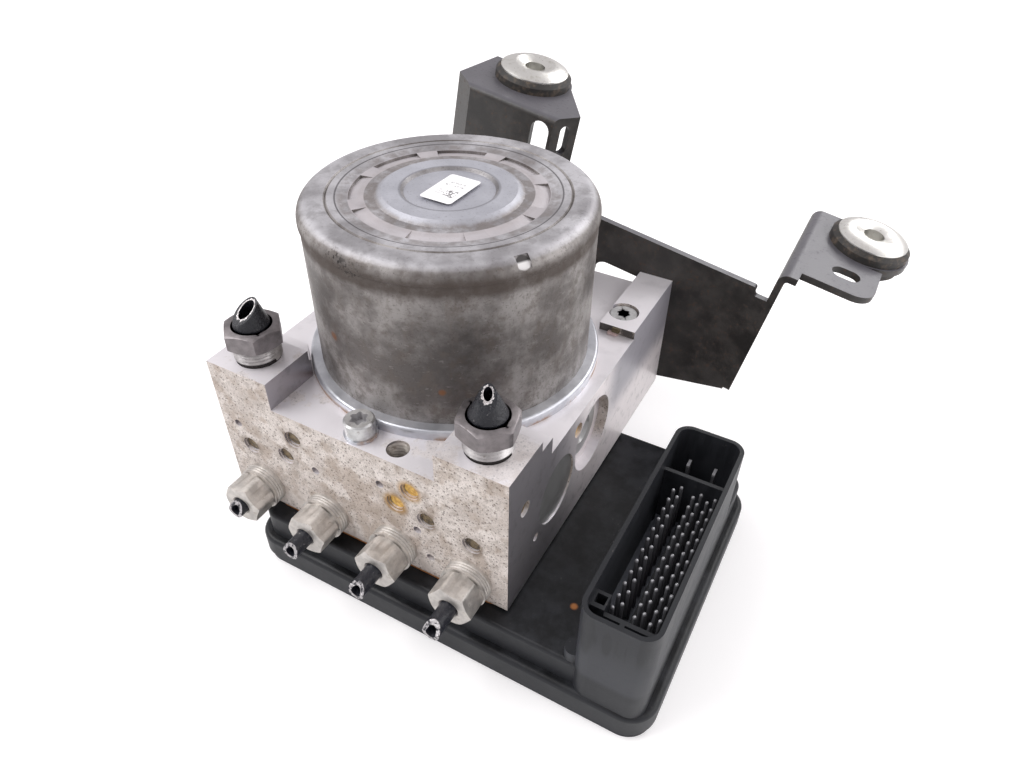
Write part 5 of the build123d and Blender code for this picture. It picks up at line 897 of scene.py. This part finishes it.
class MODULE_OT_nuts(bpy.types.Operator):
    """Turn the chamfers of the line nuts and groove the front ones' collars"""

    bl_idname = "module.nuts"
    bl_label = "Line nuts"

    def execute(self, context):
        shape = bmesh.new()
        for low, high, points in solids_of("post_port_nuts"):
            middle = (low + high) / 2
            far = max(points, key=lambda point: (point - middle).xy.length) - middle
            top, flat = high.z, POST_NUT["flat"]
            profile = (
                (THREAD_CORE, low.z),
                (THREAD_CORE, top - POST_NUT["hex"]),
                (flat * 0.97, top - POST_NUT["hex"]),
                (0, top - POST_NUT["hex"], 1),
                (0, top, -1),
                (flat * 0.97, top),
                (POST_NUT["recess"] + 0.4, top),
                (POST_NUT["recess"], top - 0.35),
                (POST_NUT["recess"], top - POST_NUT["depth"]),
                (POST_NUT["bore"], top - POST_NUT["depth"]),
                (POST_NUT["bore"], low.z),
            )
            place = Matrix.Translation(Vector((middle.x, middle.y, 0)) * MM)
            turned_nut(shape, place, math.atan2(far.y, far.x), flat, profile)
        hex_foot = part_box("post_port_nuts")[1].z - POST_NUT["hex"] * MM
        # Faces below the hexagon take a dark finish: painted shade on the core under the nut.
        for face in shape.faces:
            face.material_index = int(face.calc_center_median().z < hex_foot)
        finish = dull_zinc("post_nut_zinc", (0.23, 0.21, 0.215), (0.12, 0.09, 0.075), 0.4, 2.5)
        # Painted shade for the nut's core below its hexagon.
        shadowed = dull_zinc("nut_core_painted_shade", (0.05, 0.045, 0.045), (0.03, 0.025, 0.02), 0.55, 1.0)
        nuts = make_piece("post_line_nuts", shape, finish, stands_for=("post_port_nuts",))
        nuts.data.materials.append(shadowed.material)

        shape = bmesh.new()
        for low, high, points in solids_of("front_port_nuts"):
            middle = (low + high) / 2
            far = max(points, key=lambda point: (point - middle).xz.length) - middle
            end, flat = -low.y, FRONT_NUT["flat"]
            foot, start = -high.y, -low.y - FRONT_NUT["hex"] - FRONT_NUT["collar_length"]
            profile = [(FRONT_NUT["shank"], foot), (FRONT_NUT["shank"], start), (FRONT_NUT["collar"], start)]
            for groove in range(FRONT_NUT["grooves"]):
                at = start + 0.9 + groove * 0.8
                profile += [(FRONT_NUT["collar"], at), (FRONT_NUT["collar"] - 0.25, at + 0.25)]
                profile += [(FRONT_NUT["collar"], at + 0.5)]
            hex_start = end - FRONT_NUT["hex"]
            profile += [
                (FRONT_NUT["collar"], hex_start),
                (flat, hex_start),
                (0, hex_start, 1),
                (0, end, -1),
                (flat * 0.97, end),
                (FRONT_NUT["bore"] + 0.5, end),
                (FRONT_NUT["bore"], end - 0.5),
                (FRONT_NUT["bore"], foot),
            ]
            outward = Matrix(((1, 0, 0, middle.x * MM), (0, 0, -1, 0), (0, 1, 0, middle.z * MM), (0, 0, 0, 1)))
            turned_nut(shape, outward, math.atan2(far.z, far.x), flat, profile)
        finish = dull_zinc("front_nut_zinc", (0.62, 0.59, 0.56), (0.28, 0.22, 0.16), 0.5, 3.0, 0.6)
        make_piece("front_line_nuts", shape, finish, stands_for=("front_port_nuts",))
        return {"FINISHED"}


class MODULE_OT_screws(bpy.types.Operator):
    """Screw heads with six-lobed recesses on the motor and the rear posts"""

    bl_idname = "module.screws"
    bl_label = "Screws"

    def execute(self, context):
        finish = dull_zinc("screw_zinc", (0.6, 0.6, 0.6), (0.2, 0.16, 0.12), 0.32, 3.0, 0.4)
        recess_finish = plain("recess_grey", (0.42, 0.41, 0.42), 0.5, 0.0, 1.0)
        for name, node, head, recess, depth, shank in SCREW_HEADS:
            shape = bmesh.new()
            for low, high, _ in solids_of(node):
                middle = (low + high) / 2
                seat = high.z - head[1]
                six_lobe_head(
                    shape, (middle.x, middle.y, seat), *head, recess, depth, shank, seat - low.z
                )
            heads = make_piece(name, shape, finish, stands_for=(node,))
            heads.data.materials.append(recess_finish.material)
        return {"FINISHED"}


class MODULE_OT_label(bpy.types.Operator):
    """Lay the plain white sticker in the middle of the motor's top"""

    bl_idname = "module.label"
    bl_label = "Sticker"

    def execute(self, context):
        low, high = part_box("motor_can")
        floor = high.z / MM - CUP_DIP
        shape = bmesh.new()
        made = bmesh.ops.create_grid(shape, x_segments=1, y_segments=1, size=0.5 * MM)
        bmesh.ops.scale(shape, vec=(*LABEL_SIZE, 1), verts=made["verts"])
        bmesh.ops.bevel(
            shape, geom=shape.verts[:], offset=LABEL_CORNER * MM, segments=4, profile=0.5, affect="VERTICES"
        )
        sheet = bmesh.ops.extrude_face_region(shape, geom=shape.faces[:])
        raised = [part for part in sheet["geom"] if isinstance(part, bmesh.types.BMVert)]
        bmesh.ops.translate(shape, verts=raised, vec=(0, 0, LABEL_THICKNESS * MM))
        middle = Vector((*LABEL_MIDDLE, floor)) * MM
        place = Matrix.Translation(middle) @ Matrix.Rotation(LABEL_TURN, 4, "Z")
        bmesh.ops.transform(shape, matrix=place, verts=shape.verts)
        colour = tuple(context.scene.brake_module.label_colour)
        finish = printed_label((*LABEL_MIDDLE, 0), LABEL_TURN, colour)
        make_piece("motor_label", shape, finish, smooth=False)
        return {"FINISHED"}


class MODULE_OT_stage(bpy.types.Operator):
    """Floor, soft light and camera"""

    bl_idname = "module.stage"
    bl_label = "Stage"

    def execute(self, context):
        scene = context.scene
        scene.view_settings.view_transform = "Standard"
        floor_shape = bmesh.new()
        bmesh.ops.create_grid(floor_shape, x_segments=1, y_segments=1, size=3.0)
        mesh = bpy.data.meshes.new("floor")
        floor_shape.to_mesh(mesh)
        floor_shape.free()
        floor = bpy.data.objects.new("floor", mesh)
        scene.collection.objects.link(floor)
        finish = Finish("floor_white", tuple(scene.brake_module.floor_colour), 0.7)
        path = finish.nodes.new("ShaderNodeLightPath")
        seen = Value(finish, path.outputs["Is Camera Ray"])
        finish.feed(finish.shader.inputs["Emission Color"], finish.mix(seen, (0, 0, 0), (0.27, 0.262, 0.266)))
        finish.shader.inputs["Emission Strength"].default_value = 1.0
        mesh.materials.append(finish.material)

        world = bpy.data.worlds.new("soft_room")
        world.use_nodes = True
        scene.world = world
        nodes, links = world.node_tree.nodes, world.node_tree.links
        background = nodes["Background"]
        path = nodes.new("ShaderNodeLightPath")
        bright = nodes.new("ShaderNodeBackground")
        bright.inputs["Color"].default_value = (1, 1, 1, 1)
        bright.inputs["Strength"].default_value = 1.0
        background.inputs["Color"].default_value = (1.0, 0.965, 0.98, 1)
        background.inputs["Strength"].default_value = 0.62
        blend = nodes.new("ShaderNodeMixShader")
        seen = nodes.new("ShaderNodeMath")
        seen.operation = "MAXIMUM"
        links.new(path.outputs["Is Camera Ray"], seen.inputs[0])
        links.new(path.outputs["Is Transmission Ray"], seen.inputs[1])
        links.new(seen.outputs[0], blend.inputs[0])
        links.new(background.outputs[0], blend.inputs[1])
        links.new(bright.outputs[0], blend.inputs[2])
        links.new(blend.outputs[0], nodes["World Output"].inputs["Surface"])

        def lamp(name, place, target, size, power, colour=(1, 1, 1)):
            light = bpy.data.lights.new(name, "AREA")
            light.shape = "RECTANGLE"
            light.size, light.size_y = size
            light.energy = power
            light.color = colour
            thing = bpy.data.objects.new(name, light)
            scene.collection.objects.link(thing)
            thing.location = place
            thing.rotation_euler = (Vector(target) - Vector(place)).to_track_quat("-Z", "Y").to_euler()

        lamp("window_light", (-0.55, -0.35, 0.75), (0, 0, 0.05), (0.7, 0.7), 7.0)
        lamp("side_light", (0.6, 0.1, 0.3), (0.04, 0.02, 0.04), (0.5, 0.4), 1.3)
        lamp("back_light", (0.35, 0.7, 0.6), (0, 0.02, 0.06), (0.8, 0.4), 4.0)

        camera = bpy.data.cameras.new("camera")
        camera.sensor_width = 36.0
        camera.lens = 26.882
        camera.clip_start = 0.01
        thing = bpy.data.objects.new("camera", camera)
        scene.collection.objects.link(thing)
        yaw, pitch, roll = (math.radians(angle) for angle in (28.18, 39.94, 0.91))
        ahead = Vector((-math.sin(yaw) * math.cos(pitch), math.cos(yaw) * math.cos(pitch), -math.sin(pitch)))
        right = Vector((math.cos(yaw), math.sin(yaw), 0))
        upward = right.cross(ahead)
        turned_right = right * math.cos(roll) + upward * math.sin(roll)
        turned_up = upward * math.cos(roll) - right * math.sin(roll)
        turn = Matrix((turned_right, turned_up, -ahead)).transposed().to_4x4()
        thing.matrix_world = Matrix.Translation((0.09874, -0.1496, 0.19176)) @ turn
        scene.camera = thing
        return {"FINISHED"}


class MODULE_PT_panel(bpy.types.Panel):
    """Buttons that make the module's pieces"""

    bl_label = "Brake module"
    bl_space_type = "VIEW_3D"
    bl_region_type = "UI"
    bl_category = "Brake module"

    def draw(self, context):
        for name in ModuleSettings.__annotations__:
            self.layout.prop(context.scene.brake_module, name)
        for operator in OPERATORS:
            self.layout.operator(operator.bl_idname)


OPERATORS = (
    MODULE_OT_stage,
    MODULE_OT_control_unit,
    MODULE_OT_valve_block,
    MODULE_OT_motor,
    MODULE_OT_bracket,
    MODULE_OT_nuts,
    MODULE_OT_threads,
    MODULE_OT_sealer,
    MODULE_OT_screws,
    MODULE_OT_label,
)
CLASSES = (ModuleSettings, *OPERATORS, MODULE_PT_panel)


def register():
    for made in CLASSES:
        bpy.utils.register_class(made)
    bpy.types.Scene.brake_module = bpy.props.PointerProperty(type=ModuleSettings)


def unregister():
    del bpy.types.Scene.brake_module
    for made in reversed(CLASSES):
        bpy.utils.unregister_class(made)


def main():
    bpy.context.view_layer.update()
    register()
    bpy.ops.module.stage()
    bpy.ops.module.control_unit()
    bpy.ops.module.valve_block()
    bpy.ops.module.motor()
    bpy.ops.module.bracket()
    bpy.ops.module.nuts()
    bpy.ops.module.threads()
    bpy.ops.module.sealer()
    bpy.ops.module.screws()
    bpy.ops.module.label()


if __name__ == "__main__":
    main()
